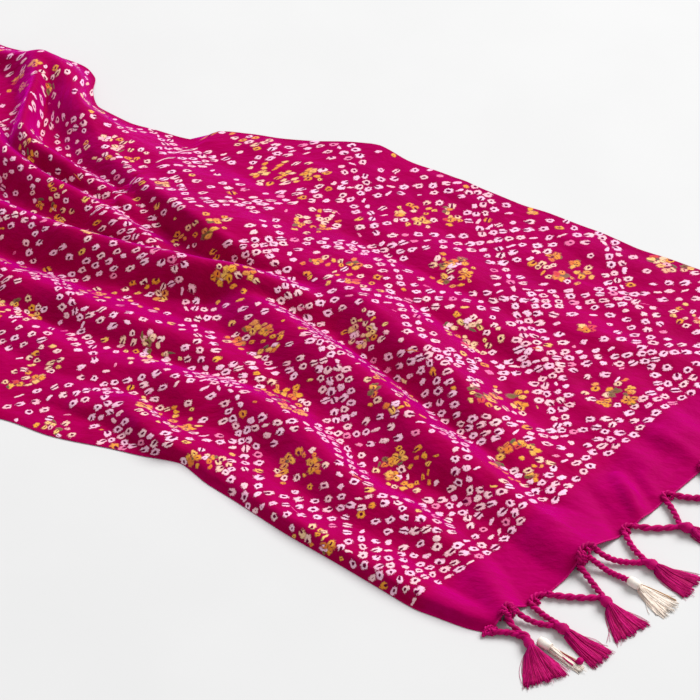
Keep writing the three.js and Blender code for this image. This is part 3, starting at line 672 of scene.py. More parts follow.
def cluster(pr, cu, cv, lean, length, width):
    """A loose posy: blooms round a bent ring and inside it, leaves, then odd petals and rings in the gaps."""
    scheme = dice.choice(((YELLOW, YELLOW, ORANGE), (YELLOW, YELLOW, PALE), (PALE, WHITE, YELLOW), (PALE, CREAMY, WHITE), (YELLOW, YELLOW, ORANGE)))
    cos, sin = math.cos(lean), math.sin(lean)
    def place(a, b):
        return cu + a * cos - b * sin, cv + a * sin + b * cos
    blooms = []
    count, turn = dice.randint(5, 8), dice.uniform(0, math.tau)
    spots = [(math.tau * k / count + turn + dice.gauss(0, 0.16), dice.uniform(0.62, 0.86)) for k in range(count)]
    spots += [(dice.uniform(0, math.tau), dice.uniform(0.0, 0.30))]
    for t, r in spots:
        u, v = place(r * length / 2 * math.cos(t), r * width / 2 * math.sin(t))
        if dice.random() < 0.32 + 1.2 * thinner(cu):  # a gap in the posy
            continue
        if inside(u, v) and all(math.hypot(u - x, v - y) > 0.0128 for x, y in blooms) and pr.free(u, v, 0.0060):
            blooms.append((u, v))
            blossom(pr, u, v, dice.uniform(0.0064, 0.0094) * (1 - 0.6 * thinner(cu)), scheme)
            if dice.random() < 0.55:
                a = dice.uniform(0, math.tau)
                pr.petal(u + 0.0076 * math.cos(a), v + 0.0076 * math.sin(a), a + dice.gauss(0, 0.5), dice.uniform(0.0026, 0.0044), dice.uniform(0.0011, 0.0018), dice.choice((OLIVE, GREEN, OLIVE, PALE)), 0.02)
    for _ in range(90):
        t, r = dice.uniform(0, math.tau), math.sqrt(dice.random())
        u, v = place(r * length * 0.58 * math.cos(t), r * width * 0.60 * math.sin(t))
        if not inside(u, v) or inside_band(u, v) or not pr.free(u, v, 0.0064):
            continue
        kind = dice.random()
        if kind < 0.20 - 0.4 * thinner(cu):
            colour = blend(dice.choice(scheme), dice.choice((PALE, ORANGE)), dice.uniform(0, 0.5))
            pr.petal(u, v, dice.uniform(0, 3.1), dice.uniform(0.0024, 0.0038), dice.uniform(0.0018, 0.0027), colour, dice.choice((0.02, 0.22)))
        elif kind < 0.52:
            pr.ring(u, v, lean, 0.92, blend(WHITE, PALE, dice.uniform(0, 0.8)) if dice.random() < 0.8 else blend(YELLOW, ORANGE, dice.uniform(0, 0.6)), 0.0066)


def thinner(u):
    """The rings are tied a little further apart toward the middle of the cloth."""
    from_end = min(u, FLAT_LENGTH - u)
    return 0.27 * min(max((from_end - 0.36) / 0.44, 0.0), 1.0)


def laid_out():
    pr = Print()
    # three columns along each plain band
    for end in (0, 1):
        for k in range(3):
            count = 48
            for j in range(count):
                v = (j + 0.5 + 0.5 * (k % 2)) / count * FLAT_WIDTH - FLAT_WIDTH / 2
                u = BORDER + 0.0056 + 0.0119 * k + wander(v, 1.3 + end) + dice.gauss(0, 0.0007)
                if dice.random() < 0.96:
                    pr.ring(FLAT_LENGTH - u if end else u, v + dice.gauss(0, 0.0008), 0.1, 1.0)
    # what fills each diamond
    nu, nv = int(FLAT_LENGTH / HALF_U) + 2, int(FLAT_WIDTH / 2 / HALF_V) + 2
    start_u = 0.052
    diamonds = []
    for i in range(-1, nu):
        for j in range(-nv, nv + 1):
            if (i + j) % 2 == 0:
                diamonds.append((i, j, dice.random(), dice.random()))
    def at(p, q):
        """Lattice place to cloth place: the rows bow a little, so the diamonds are ogee shaped."""
        bow = 0.0042 * math.sin(math.pi * q)
        bow2 = 0.0042 * math.sin(math.pi * p)
        u = HALF_U * (p + q) / 2 + start_u + bow + 0.3 * bow2
        v = HALF_V * (p - q) / 2 + bow2 * 0.7 - bow * 0.4
        return u, v
    # the rows of rings that bound the diamonds
    side = math.hypot(HALF_U, HALF_V)
    for family in (0, 1):
        for odd in range(-2 * nv - 3, 2 * nu + 2 * nv, 1):
            if odd % 2 == 0:
                continue
            rows = None
            steps = int((nu + nv) * 2 * 9.6)
            for k in range(-steps, steps):
                t = k * 0.0119 / side * 2
                if rows is None or math.floor((t + 1) / 2) != math.floor((t - 0.0119 / side * 2 + 1) / 2):
                    pick = random.Random(odd * 977 + int(math.floor((t + 1) / 2)) * 31 + family * 7).random()
                    rows = (-0.55, 0.55) if pick < 0.56 else ((-1.06, 0, 1.06) if pick < 0.61 else (0,))
                # t counts half edges: 8.2 rings lie along one side of a diamond
                t2 = k * 0.0119 / side * 2
                for r in rows:
                    shift = r * 0.0121 / side * 2
                    p, q = (odd + shift, t2) if family == 0 else (t2, odd + shift)
                    u, v = at(p, q)
                    if not (0.02 < u < FLAT_LENGTH - 0.02 and abs(v) < 0.31):
                        continue
                    if dice.random() < 0.025 + 0.8 * thinner(u):
                        continue
                    if inside_band(u, v):
                        continue
                    colour = blend(YELLOW, ORANGE, dice.uniform(0, 0.6)) if dice.random() < 0.02 else None
                    pr.ring(u + dice.gauss(0, 0.0005), v + dice.gauss(0, 0.0005), -0.7 if family else 0.7, 1.0, colour, 0.0083, 0.15)
    for i, j, what, more in diamonds:
        cu, cv = HALF_U * i + start_u, HALF_V * j
        if not (0.03 < cu < FLAT_LENGTH - 0.03):
            continue
        fill(pr, i, j, what, more, at)
    # odd small marks in the open spaces, and a few pulled streaks of colour
    for _ in range(12000):
        u, v = dice.uniform(0.10, FLAT_LENGTH - 0.10), dice.uniform(-0.3, 0.3)
        if inside_band(u, v):
            continue
        if dice.random() < 0.04:
            pr.free(u, v, 0.0095) and pr.petal(u, v, dice.uniform(0, 3.1), dice.uniform(0.002, 0.004), dice.uniform(0.0009, 0.0016), dice.choice((YELLOW, ORANGE, BLUSH, ROSE, PALE)))
        else:
            colour = blend(YELLOW, ORANGE, dice.uniform(0, 0.5)) if dice.random() < 0.05 else None
            pr.ring(u, v, 0.5, dice.uniform(0.74, 1.0), colour, 0.0124 + 0.022 * thinner(u) + 0.0016 * dice.random(), 0.24)
    for _ in range(45):
        u, v = dice.uniform(0.10, FLAT_LENGTH - 0.10), dice.uniform(-0.29, 0.29)
        pr.petal(u, v, math.pi / 2 + dice.gauss(0, 0.35), dice.uniform(0.003, 0.009), dice.uniform(0.0004, 0.0008), dice.choice((ROSE, ROSE, ORANGE, BLUSH)), 0.02)
    return pr.marks


def inside_band(u, v):
    """Where the three columns of rings along each plain band are."""
    near = min(u, FLAT_LENGTH - u)
    return near < BORDER + 0.0056 + 0.0119 * 2 + 0.008 + wander(v, 1.3)


def fill(pr, i, j, what, more, at):
    pc, qc = i + j, i - j
    cu, cv = at(pc, qc)
    def loop(m, gap=0.0120, drop=0.06):
        side = math.hypot(HALF_U, HALF_V) * m
        n = max(3, int(round(side / gap)))
        for k in range(n):
            t = -m + 2 * m * k / n
            for p, q in ((pc - m, qc + t), (pc + t, qc + m), (pc + m, qc - t), (pc - t, qc - m)):
                u, v = at(p, q)
                if inside_band(u, v) or dice.random() < drop + thinner(u):
                    continue
                colour = blend(YELLOW, PALE, dice.uniform(0, 0.7)) if dice.random() < 0.05 else None
                pr.ring(u + dice.gauss(0, 0.0006), v + dice.gauss(0, 0.0006), 0.6, 0.98, colour, 0.0088, 0.16)
    if inside_band(cu, cv):
        return
    if what < 0.60:
        loop(0.70, 0.0122, 0.06)
        cluster(pr, cu, cv, dice.gauss(0.1, 0.5), 0.062 + 0.014 * more, 0.040 + 0.010 * more)
    elif what < 0.71:
        loop(0.70)
        loop(0.47)
        loop(0.24)
        if dice.random() < 0.6:
            blossom(pr, cu, cv, 0.0085, (YELLOW, PALE))
    elif what < 0.90:
        loop(0.70, 0.0120, 0.06)
        cluster(pr, cu, cv, dice.gauss(0, 0.6), 0.050, 0.040)
    else:
        loop(0.68, 0.0130, 0.08)
        loop(0.40, 0.0130, 0.15)
        blossom(pr, cu + dice.gauss(0, 0.003), cv + dice.gauss(0, 0.003), dice.uniform(0.0072, 0.0092), (YELLOW, PALE, ORANGE))


SLOTS = 3


def marks_on_faces(marks, us, vs):
    """For each cell of the grid, up to SLOTS marks that reach into it, the nearest ones first."""
    nu, nv = len(us) - 1, len(vs) - 1
    owner = np.full((nu, nv, SLOTS), -1, int)
    gap = np.full((nu, nv, SLOTS), 1e9)
    lost = 0
    for k, m in enumerate(marks):
        reach = max(m[3], m[4]) * 1.22 + 0.0012
        i0, i1 = np.searchsorted(us, m[0] - reach) - 1, np.searchsorted(us, m[0] + reach)
        j0, j1 = np.searchsorted(vs, m[1] - reach) - 1, np.searchsorted(vs, m[1] + reach)
        for i in range(max(i0, 0), min(i1, nu)):
            du = max(us[i] - m[0], 0, m[0] - us[i + 1])
            for j in range(max(j0, 0), min(j1, nv)):
                dv = max(vs[j] - m[1], 0, m[1] - vs[j + 1])
                d = math.hypot(du, dv) - (m[3] + m[4]) / 2
                if math.hypot(du, dv) > reach:
                    continue
                worst = int(np.argmax(gap[i, j]))
                if d < gap[i, j, worst]:
                    if owner[i, j, worst] >= 0:
                        lost += 1
                    owner[i, j, worst], gap[i, j, worst] = k, d
                else:
                    lost += 1
    return owner, lost


# ---------------------------------------------------------------- materials
def crepe_material():
    m = bpy.data.materials.new("printed_crepe")
    g = Graph(m)
    P = g.uv("Cloth")
    fac, cloud = g.noise(P, 260.0, 2.0, 0.6)
    wob = g.vec("SCALE", g.vec("SUBTRACT", cloud, (0.5, 0.5, 0.5)), scale=0.0030)
    Pw = g.vec("MULTIPLY", g.vec("ADD", P, wob), (1.0, 1.0, 0.0))
    ragged, _ = g.noise(P, 820.0, 2.0, 0.6)
    ragged = g.math("SUBTRACT", ragged, 0.5)
    lumpy, _ = g.noise(P, 300.0, 1.0, 0.5)
    lumpy = g.math("MULTIPLY", g.math("SUBTRACT", lumpy, 0.5), 1.15)
    ragged = g.math("ADD", ragged, lumpy)
    veins, _ = g.noise(P, 420.0, 2.0, 0.6)
    veins = g.ramp(veins, 0.56, 0.70, 0.0, 0.75)
    # the ground: magenta, a little uneven as dyed, deeper where it is denser
    patch, _ = g.noise(P, 9.0, 3.0, 0.55)
    mottle, _ = g.noise(P, 70.0, 3.0, 0.6)
    ground = g.mix(g.ramp(patch, 0.30, 0.70), rgba(146, 0, 38), rgba(159, 0, 50))
    ground = g.mix(g.ramp(mottle, 0.35, 0.75, 0.0, 0.34), ground, rgba(178, 0, 78))
    # the bands at both ends are a little more even and painted brighter and bluer: painted sheen, for the stronger
    # sheen on the plain bands
    along, _, _ = g.split(P)
    ends = g.math("MINIMUM", along, g.math("SUBTRACT", FLAT_LENGTH, along))
    ground = g.mix(g.ramp(ends, BORDER + 0.010, BORDER - 0.012), ground, g.mix(g.ramp(mottle, 0.3, 0.75), rgba(160, 0, 68), rgba(169, 0, 79)))
    colour = ground
    cover = None
    for k in range(SLOTS):
        A, B, C, D = (g.attribute(f"{letter}{k}") for letter in "abcd")
        _, _, turn = g.split(A)
        flat = g.vec("MULTIPLY", A, (1.0, 1.0, 0.0))
        rot = g.node("ShaderNodeVectorRotate", rotation_type="Z_AXIS")
        g.put(rot.inputs["Vector"], Pw)
        g.put(rot.inputs["Center"], flat)
        g.put(rot.inputs["Angle"], g.math("MULTIPLY", turn, -1.0))
        local = g.vec("SUBTRACT", rot.outputs[0], flat)
        a, b, hx = g.split(B)
        hy, oy, soft = g.split(C)
        scaled = g.vec("DIVIDE", local, g.join(a, b, 1.0))
        ax, ay, _z = g.split(g.vec("ABSOLUTE", scaled))
        rim = g.math("POWER", g.math("ADD", g.math("POWER", ax, 2.3), g.math("POWER", ay, 2.3)), 0.4348)
        rim = g.math("MULTIPLY_ADD", ragged, 0.85, rim)
        outer = g.ramp(rim, g.math("ADD", soft, 1.0), g.math("SUBTRACT", 1.0, soft))
        hole = g.vec("DIVIDE", g.vec("SUBTRACT", scaled, g.join(0.0, oy, 0.0)), g.join(hx, hy, 1.0))
        hole = g.vec("MULTIPLY", hole, (1.0, 1.0, 0.0))
        eye = g.math("MULTIPLY_ADD", ragged, 0.7, g.vec("LENGTH", hole))
        eye = g.ramp(eye, 0.75, 1.30)
        _, green_part, blue_part = g.split(D)
        golden = g.ramp(g.math("SUBTRACT", green_part, blue_part), 0.10, 0.28)
        edging = g.mix(golden, rgba(238, 110, 160), rgba(132, 58, 14))
        inked = g.mix(g.math("MULTIPLY", golden, veins), D, rgba(138, 98, 26))
        inked = g.mix(g.math("MULTIPLY", g.ramp(rim, 0.60, 1.05), g.math("MULTIPLY_ADD", golden, 0.26, 0.20)), inked, edging)
        colour = g.mix(g.ramp(rim, 1.50, 1.05, 0.0, 0.34), colour, rgba(104, 0, 34))
        colour = g.mix(outer, colour, g.mix(eye, rgba(96, 0, 28), inked))
        dome = g.ramp(rim, 1.25, 0.35)
        cover = dome if cover is None else g.math("MAXIMUM", cover, dome)
    # the weave: fine crepe pebble over plain threads
    pebble, _ = g.noise(P, 1500.0, 2.0, 0.7)
    threads, _ = g.noise(g.vec("MULTIPLY", P, (1.0, 7.0, 1.0)), 420.0, 2.0, 0.5)
    colour = g.mix(g.ramp(pebble, 0.2, 0.8, 0.0, 0.16), colour, g.mix(1.0, colour, rgba(150, 150, 150), "MULTIPLY"))
    hgt = g.math("ADD", g.math("MULTIPLY", pebble, 0.6), g.math("MULTIPLY", threads, 0.4))
    soft, _ = g.noise(g.vec("MULTIPLY", P, (1.0, 1.5, 1.0)), 75.0, 3.0, 0.55)
    normal = g.bump(soft, 0.44, 0.0030)
    normal = g.bump(cover, 0.35, 0.0007, normal)
    normal = g.bump(hgt, 0.30, 0.0004, normal)
    g.shader(colour, 0.5, normal, Specular_IOR_Level=0.02, Specular_Tint=rgba(255, 0, 230), Sheen_Weight=1.0, Sheen_Roughness=0.5, Sheen_Tint=rgba(255, 0, 217))
    return m


def yarn_material(name, dark, mid, bright, rough=0.55, sheen=(255, 130, 190)):
    m = bpy.data.materials.new(name)
    g = Graph(m)
    uv = g.uv("Thread")
    shade = g.fact("shade")
    strands, _ = g.noise(g.vec("MULTIPLY", uv, (900.0, 9.0, 1.0)), 1.0, 2.0, 0.6)
    fine, _ = g.noise(g.vec("MULTIPLY", uv, (260.0, 30.0, 1.0)), 1.0, 2.0, 0.6)
    value = g.math("ADD", g.math("MULTIPLY", shade, 0.75), g.math("MULTIPLY", g.math("SUBTRACT", fine, 0.5), 0.80))
    colour = g.mix(g.ramp(value, 0.05, 0.5), dark, mid)
    colour = g.mix(g.ramp(value, 0.55, 1.0), colour, bright)
    # light specks along the strands: partly the marled yarn, partly a painted highlight on its fluff
    colour = g.mix(g.ramp(strands, 0.62, 0.78, 0.0, 0.45), colour, bright)
    normal = g.bump(g.math("ADD", strands, fine), 0.5, 0.0004)
    g.shader(colour, rough, normal, Specular_IOR_Level=0.08, Sheen_Weight=0.30, Sheen_Roughness=0.5, Sheen_Tint=rgba(*sheen))
    return m


def floor_material():
    m = bpy.data.materials.new("pale_table")
    g = Graph(m)
    co = g.node("ShaderNodeTexCoord").outputs["Object"]
    grain, _ = g.noise(co, 6.0, 3.0, 0.5)
    g.shader(g.mix(g.ramp(grain, 0.3, 0.7), (0.668, 0.668, 0.668, 1), (0.680, 0.680, 0.680, 1)), 0.9, Specular_IOR_Level=0.2)
    return m


crepe = crepe_material()
pink = yarn_material("pink_yarn", rgba(142, 0, 64), rgba(192, 0, 102), rgba(236, 38, 150), 0.55, (255, 0, 210))
cream = yarn_material("cream_yarn", rgba(228, 206, 188), rgba(244, 228, 214), rgba(249, 247, 243), 0.65, (255, 246, 240))

ochre = yarn_material("ochre_thread", rgba(168, 116, 64), rgba(204, 156, 100), rgba(226, 186, 132), 0.6, (255, 220, 170))


def hem_material():
    m = bpy.data.materials.new("rolled_hem")
    g = Graph(m)
    fine, _ = g.noise(g.vec("MULTIPLY", g.uv("Thread"), (700.0, 6.0, 1.0)), 1.0, 2.0, 0.6)
    # painted light: the rolled hem is coloured a little brighter than the cloth's ground, so the thin roll does not
    # read as a dark line
    g.shader(g.mix(g.ramp(fine, 0.3, 0.7), rgba(166, 0, 66), rgba(184, 0, 86)), 0.5, None, Specular_IOR_Level=0.06, Sheen_Weight=0.90, Sheen_Roughness=0.5, Sheen_Tint=rgba(255, 0, 232))
    return m


rolled = hem_material()

floor = object_of("floor", [(-14, -14, 0), (14, -14, 0), (14, 14, 0), (-14, 14, 0)], [(0, 1, 2, 3)], floor_material())


# ---------------------------------------------------------------- the cloth
def placed(mm):
    return np.asarray(mm, float) / 1000 + SHIFT


def grid_normals(p):
    du, dv = np.gradient(p, axis=0), np.gradient(p, axis=1)
    n = np.cross(dv, du)
    n *= np.sign(n[..., 2:3])
    return n / np.linalg.norm(n, axis=2, keepdims=True)


def make_cloth():
    shares = np.concatenate([np.linspace(0, 0.5, ROWS_SHOWN + 1)[:-1], np.linspace(0.5, 1, ROWS_BEHIND + 1)])
    under_mm, arcs = draped(shares, ACROSS)
    print("cloth: width on the drape, mm", round(float(arcs.min())), round(float(arcs.mean())), round(float(arcs.max())))
    base = placed(under_mm)
    n = grid_normals(base)
    top, bottom = base + n * (LIFT + THIN), base + n * LIFT
    bottom[..., 2] = np.maximum(bottom[..., 2], 0.0002)
    top[..., 2] = np.maximum(top[..., 2], bottom[..., 2] + 0.0006)
    rows, cols = len(shares), ACROSS + 1
    us, vs = shares * FLAT_LENGTH, np.linspace(-0.5, 0.5, cols) * FLAT_WIDTH
    U, V = np.meshgrid(us, vs, indexing="ij")
    keep = list(range(0, rows - 1, UNDER_STEP)) + [rows - 1]
    verts = np.concatenate([top.reshape(-1, 3), bottom[keep].reshape(-1, 3)])
    flat = np.concatenate([np.stack([U, V], 2).reshape(-1, 2), np.stack([U, V], 2)[keep].reshape(-1, 2)])
    lay = rows * cols
    i, j = np.meshgrid(np.arange(rows - 1), np.arange(cols - 1), indexing="ij")
    at = lambda i, j: i * cols + j
    upper = np.stack([at(i, j), at(i, j + 1), at(i + 1, j + 1), at(i + 1, j)], 2).reshape(-1, 4)
    ki, kj = np.meshgrid(np.arange(len(keep) - 1), np.arange(cols - 1), indexing="ij")
    low = lambda i, j: lay + i * cols + j
    lower = np.stack([low(ki, kj), low(ki + 1, kj), low(ki + 1, kj + 1), low(ki, kj + 1)], 2).reshape(-1, 4)
    faces = [tuple(map(int, f)) for f in upper] + [tuple(map(int, f)) for f in lower]
    rim = []
    for k in range(len(keep) - 1):
        a, b = keep[k], keep[k + 1]
        for col, turned in ((0, False), (cols - 1, True)):
            fan = [at(r, col) for r in range(a, b + 1)]
            for x, y in zip(fan, fan[1:]):
                tri = (low(k, col), y, x) if not turned else (low(k, col), x, y)
                rim.append(tri)
            tri = (low(k, col), low(k + 1, col), fan[-1]) if not turned else (low(k, col), fan[-1], low(k + 1, col))
            rim.append(tri)
    for j2 in range(cols - 1):
        rim.append((at(0, j2 + 1), at(0, j2), low(0, j2), low(0, j2 + 1)))
        rim.append((at(rows - 1, j2), at(rows - 1, j2 + 1), low(len(keep) - 1, j2 + 1), low(len(keep) - 1, j2)))
    faces += [tuple(map(int, f)) for f in rim]
    marks = laid_out()
    owner, lost = marks_on_faces(marks, us, vs)
    under_owner, _ = marks_on_faces(marks, us[keep], vs)
    print("print:", len(marks), "marks,", int((owner >= 0).any(2).sum()), "cells marked,", lost, "left out for want of a place")
    me = bpy.data.meshes.new("cloth_sheet")
    me.from_pydata([tuple(v) for v in verts], [], faces)
    me.shade_smooth()
    me.materials.append(crepe)
    corner = np.empty(len(me.loops), np.int32)
    me.loops.foreach_get("vertex_index", corner)
    layer = me.uv_layers.new(name="Cloth", do_init=False)
    layer.uv.foreach_set("vector", flat[corner].astype(np.float32).ravel())
    table = np.array(marks + [(-9, -9, 0, 1, 1, 1, 1, 0, 0.1, 0, 0, 0)], float)
    which = np.concatenate([owner.reshape(-1, SLOTS), under_owner.reshape(-1, SLOTS), np.full((len(rim), SLOTS), -1)])
    for k in range(SLOTS):
        m = table[which[:, k]]
        for letter, columns in (("a", (0, 1, 2)), ("b", (3, 4, 5)), ("c", (6, 7, 8)), ("d", (9, 10, 11))):
            me.attributes.new(f"{letter}{k}", "FLOAT_VECTOR", "FACE").data.foreach_set("vector", m[:, columns].astype(np.float32).ravel())
    me.update(calc_edges=True)
    # the cut edge is its own face: the sheet stays evenly lit right up to it
    brink = np.zeros(len(me.vertices), bool)
    brink[:lay].reshape(rows, cols)[[0, -1], :] = True
    brink[:lay].reshape(rows, cols)[:, [0, -1]] = True
    brink[lay:].reshape(len(keep), cols)[[0, -1], :] = True
    brink[lay:].reshape(len(keep), cols)[:, [0, -1]] = True
    pairs = np.empty(len(me.edges) * 2, np.int32)
    me.edges.foreach_get("vertices", pairs)
    pairs = pairs.reshape(-1, 2)
    hard = brink[pairs].all(1) & ((pairs < lay).all(1) | (pairs >= lay).all(1))
    me.attributes.new("sharp_edge", "BOOLEAN", "EDGE").data.foreach_set("value", hard)
    obj = bpy.data.objects.new("cloth_sheet", me)
    bpy.context.scene.collection.objects.link(obj)
    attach(obj, "root")
    return obj, top, us, vs


cloth, cloth_top, cloth_us, cloth_vs = make_cloth()
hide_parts("cloth")

# ---------------------------------------------------------------- hems, knots and fringe, in millimetres of the row frame
spin = random.Random(77)


def smooth_path(points, step):
    """A rounded line through the points, in steps of about that length."""
    p = np.asarray(points, float)
    run = np.concatenate([[0], np.cumsum(np.linalg.norm(np.diff(p, axis=0), axis=1))])
    ts = np.linspace(0, run[-1], max(4, int(run[-1] / step)) + 1)
    k = np.clip(np.searchsorted(run, ts, side="right") - 1, 0, len(p) - 2)
    m = np.gradient(p, run, axis=0)
    h = (run[k + 1] - run[k])[:, None]
    t = ((ts - run[k]) / h[:, 0])[:, None]
    a, b, c, d = p[k], m[k] * h, p[k + 1], m[k + 1] * h
    return a * (2 * t**3 - 3 * t**2 + 1) + b * (t**3 - 2 * t**2 + t) + c * (3 * t**2 - 2 * t**3) + d * (t**3 - t**2)


def frames(path):
    way = np.gradient(path, axis=0)
    way /= np.maximum(np.linalg.norm(way, axis=1, keepdims=True), 1e-9)
    side = np.cross(way, (0, 0, 1.0))
    side /= np.maximum(np.linalg.norm(side, axis=1, keepdims=True), 1e-9)
    for k in range(1, len(path)):
        s = side[k - 1] - way[k] * np.dot(side[k - 1], way[k])
        side[k] = s / max(np.linalg.norm(s), 1e-9)
    return way, side, np.cross(side, way)


def rope(yarns, points, pitch, strand=2.15, off=1.5, plies=2, phase=0.0, swell=0.0, kind=0, shade=(0.3, 0.6), sides=7):
    """Plies laid round each other along a rounded line through the points."""
    path = smooth_path(points, min(pitch / 11, 1.25))
    way, side, lift = frames(path)
    run = np.concatenate([[0], np.cumsum(np.linalg.norm(np.diff(path, axis=0), axis=1))])
    turn = 2 * np.pi * run / pitch + phase
    for ply in range(plies):
        a = turn + 2 * np.pi * ply / plies
        wide = off * (1 + swell * np.sin(run * 0.43 + phase))
        line = path + (np.cos(a) * wide)[:, None] * side + (np.sin(a) * wide)[:, None] * lift
        line[:, 2] = np.maximum(line[:, 2], strand + 0.15)
        r = strand * (1 + 0.05 * np.sin(run * 1.7 + ply * 2 + phase))
        yarns.tube(placed(line), r / 1000, sides, spin.uniform(*shade), kind)


def wound(yarns, centre, heading, stations, turn_pitch, ridge=0.30, kind=0, shade=0.5, around=18, flat=1.0):
    """A body of thread wound round an axis that lies along the heading: stations are (s, radius)."""
    s = np.arange(stations[0][0], stations[-1][0] + 1e-6, turn_pitch / 5)
    table = np.array(stations, float)
    r = hermite(table[:, 0], table[:, 1], s)
    ahead, across = np.array([math.cos(heading), math.sin(heading), 0.0]), np.array([-math.sin(heading), math.cos(heading), 0.0])
    verts, faces, uv = [], [], []
    for si, ri in zip(s, r):
        for k in range(around):
            a = 2 * math.pi * k / around
            lumpy = ri + ridge * (abs(math.sin(math.pi * (si / turn_pitch + k / around))) - 0.5) * min(1.0, ri / 3) + 0.16 * math.sin(3 * a + si * 0.6)
            c = centre + ahead * si + across * (lumpy * math.cos(a))
            verts.append((c[0], c[1], max(0.12, centre[2] + lumpy * math.sin(a) * flat)))
            uv.append((k / around * 0.02 + si * 0.002, si * 0.35 + k / around * 0.35 * turn_pitch))
    n = len(s)
    for i in range(n - 1):
        for k in range(around):
            m = (k + 1) % around
            faces.append((i * around + k, (i + 1) * around + k, (i + 1) * around + m, i * around + m))
    faces.append(tuple(range(around)))
    faces.append(tuple((n - 1) * around + k for k in reversed(range(around))))
    yarns.solid([tuple(v) for v in placed(verts)], faces, shade, kind, uv)


def skirt(yarns, neck, heading, length, half, count, neck_r, kind=0, shade=(0.25, 0.95), stray=0.10, thread=(0.34, 0.52), rise=5.6, core=True, ragged=0.05):
    """Cut threads spreading over the table from a neck."""
    ahead, across = np.array([math.cos(heading), math.sin(heading), 0.0]), np.array([-math.sin(heading), math.cos(heading), 0.0])

    def spread(t):
        return neck_r / half + (1 - neck_r / half) * t**0.80

    def crown(t):
        return 2 * neck_r * (1 - ease(t * 2.2)) + rise * ease(t * 2.2) * (1 - 0.55 * t)

    if core:
        rows, around = 12, 12
        verts, faces = [], []
        for i in range(rows):
            t = i / (rows - 1) * 0.93
            for k in range(around):
                a = 2 * math.pi * k / around
                c = neck + ahead * (length * t) + across * (math.cos(a) * half * spread(t) * 0.90)
                top = crown(t) * 0.88
                verts.append((c[0], c[1], 0.15 + top * (0.5 + 0.5 * math.sin(a))))
        for i in range(rows - 1):
            for k in range(around):
                m = (k + 1) % around
                faces.append((i * around + k, (i + 1) * around + k, (i + 1) * around + m, i * around + m))
        faces.append(tuple(range(around)))
        faces.append(tuple((rows - 1) * around + k for k in reversed(range(around))))
        uv = [(v * 0.0007, (v % around) / around * 3) for v in range(len(verts))]
        yarns.solid([tuple(v) for v in placed(verts)], faces, 0.30, kind, uv)
    locks = sorted(spin.uniform(-1, 1) for _ in range(9))
    tones = [spin.uniform(-0.16, 0.20) for _ in locks]
    for _ in range(count):
        lat = spin.uniform(-1, 1)
        near = min(range(len(locks)), key=lambda q: abs(locks[q] - lat))
        pull = (locks[near] - lat) * spin.uniform(0.25, 0.75)
        lay = spin.random() ** 0.7
        loose = spin.random() < stray
        reach = spin.uniform(1 - ragged * 2, 1 + ragged) * (1 - 0.05 * lat * lat)
        wave, beat, turn = spin.gauss(0, 0.6 if not loose else 2.4), spin.uniform(2.0, 5.0), spin.uniform(0, 6.28)
        if loose:
            lat *= spin.uniform(1.0, 1.22)
            reach *= spin.uniform(0.9, 1.10)
        pts = []
        for i in range(10):
            t = i / 9
            c = neck + ahead * (length * reach * t) + across * ((lat + pull * t * t) * half * spread(t) + wave * t * math.sin(beat * t + turn))
            arch = crown(t) * math.sqrt(max(0.0, 1 - min(1.0, abs(lat)) ** 2.2))
            z = 0.5 + arch * (0.35 + 0.65 * lay) * (1.0 if not loose else 0.8) + (0.5 if loose else 0.25) * math.sin(beat * 2 * t + turn) * t
            pts.append((c[0], c[1], max(0.45, z)))
        r = spin.uniform(*thread) * (0.62 if loose else 1.0)
        yarns.tube(placed(pts), np.linspace(r, r * 0.8, 10) / 1000, 3, min(1.0, max(0.0, spin.uniform(*shade) + tones[near])) if not loose else spin.uniform(0.6, 1.0), kind, caps=True)


def hem_place(hem, end, out, y, z):
    return np.array([float(hem(y)) + end * out, y, z])


def hem_height(hem, end, y):
    x = float(hem(y)) - end * 2.0
    return float(height(np.array([x]), np.array([y]))[0]) + 1.2


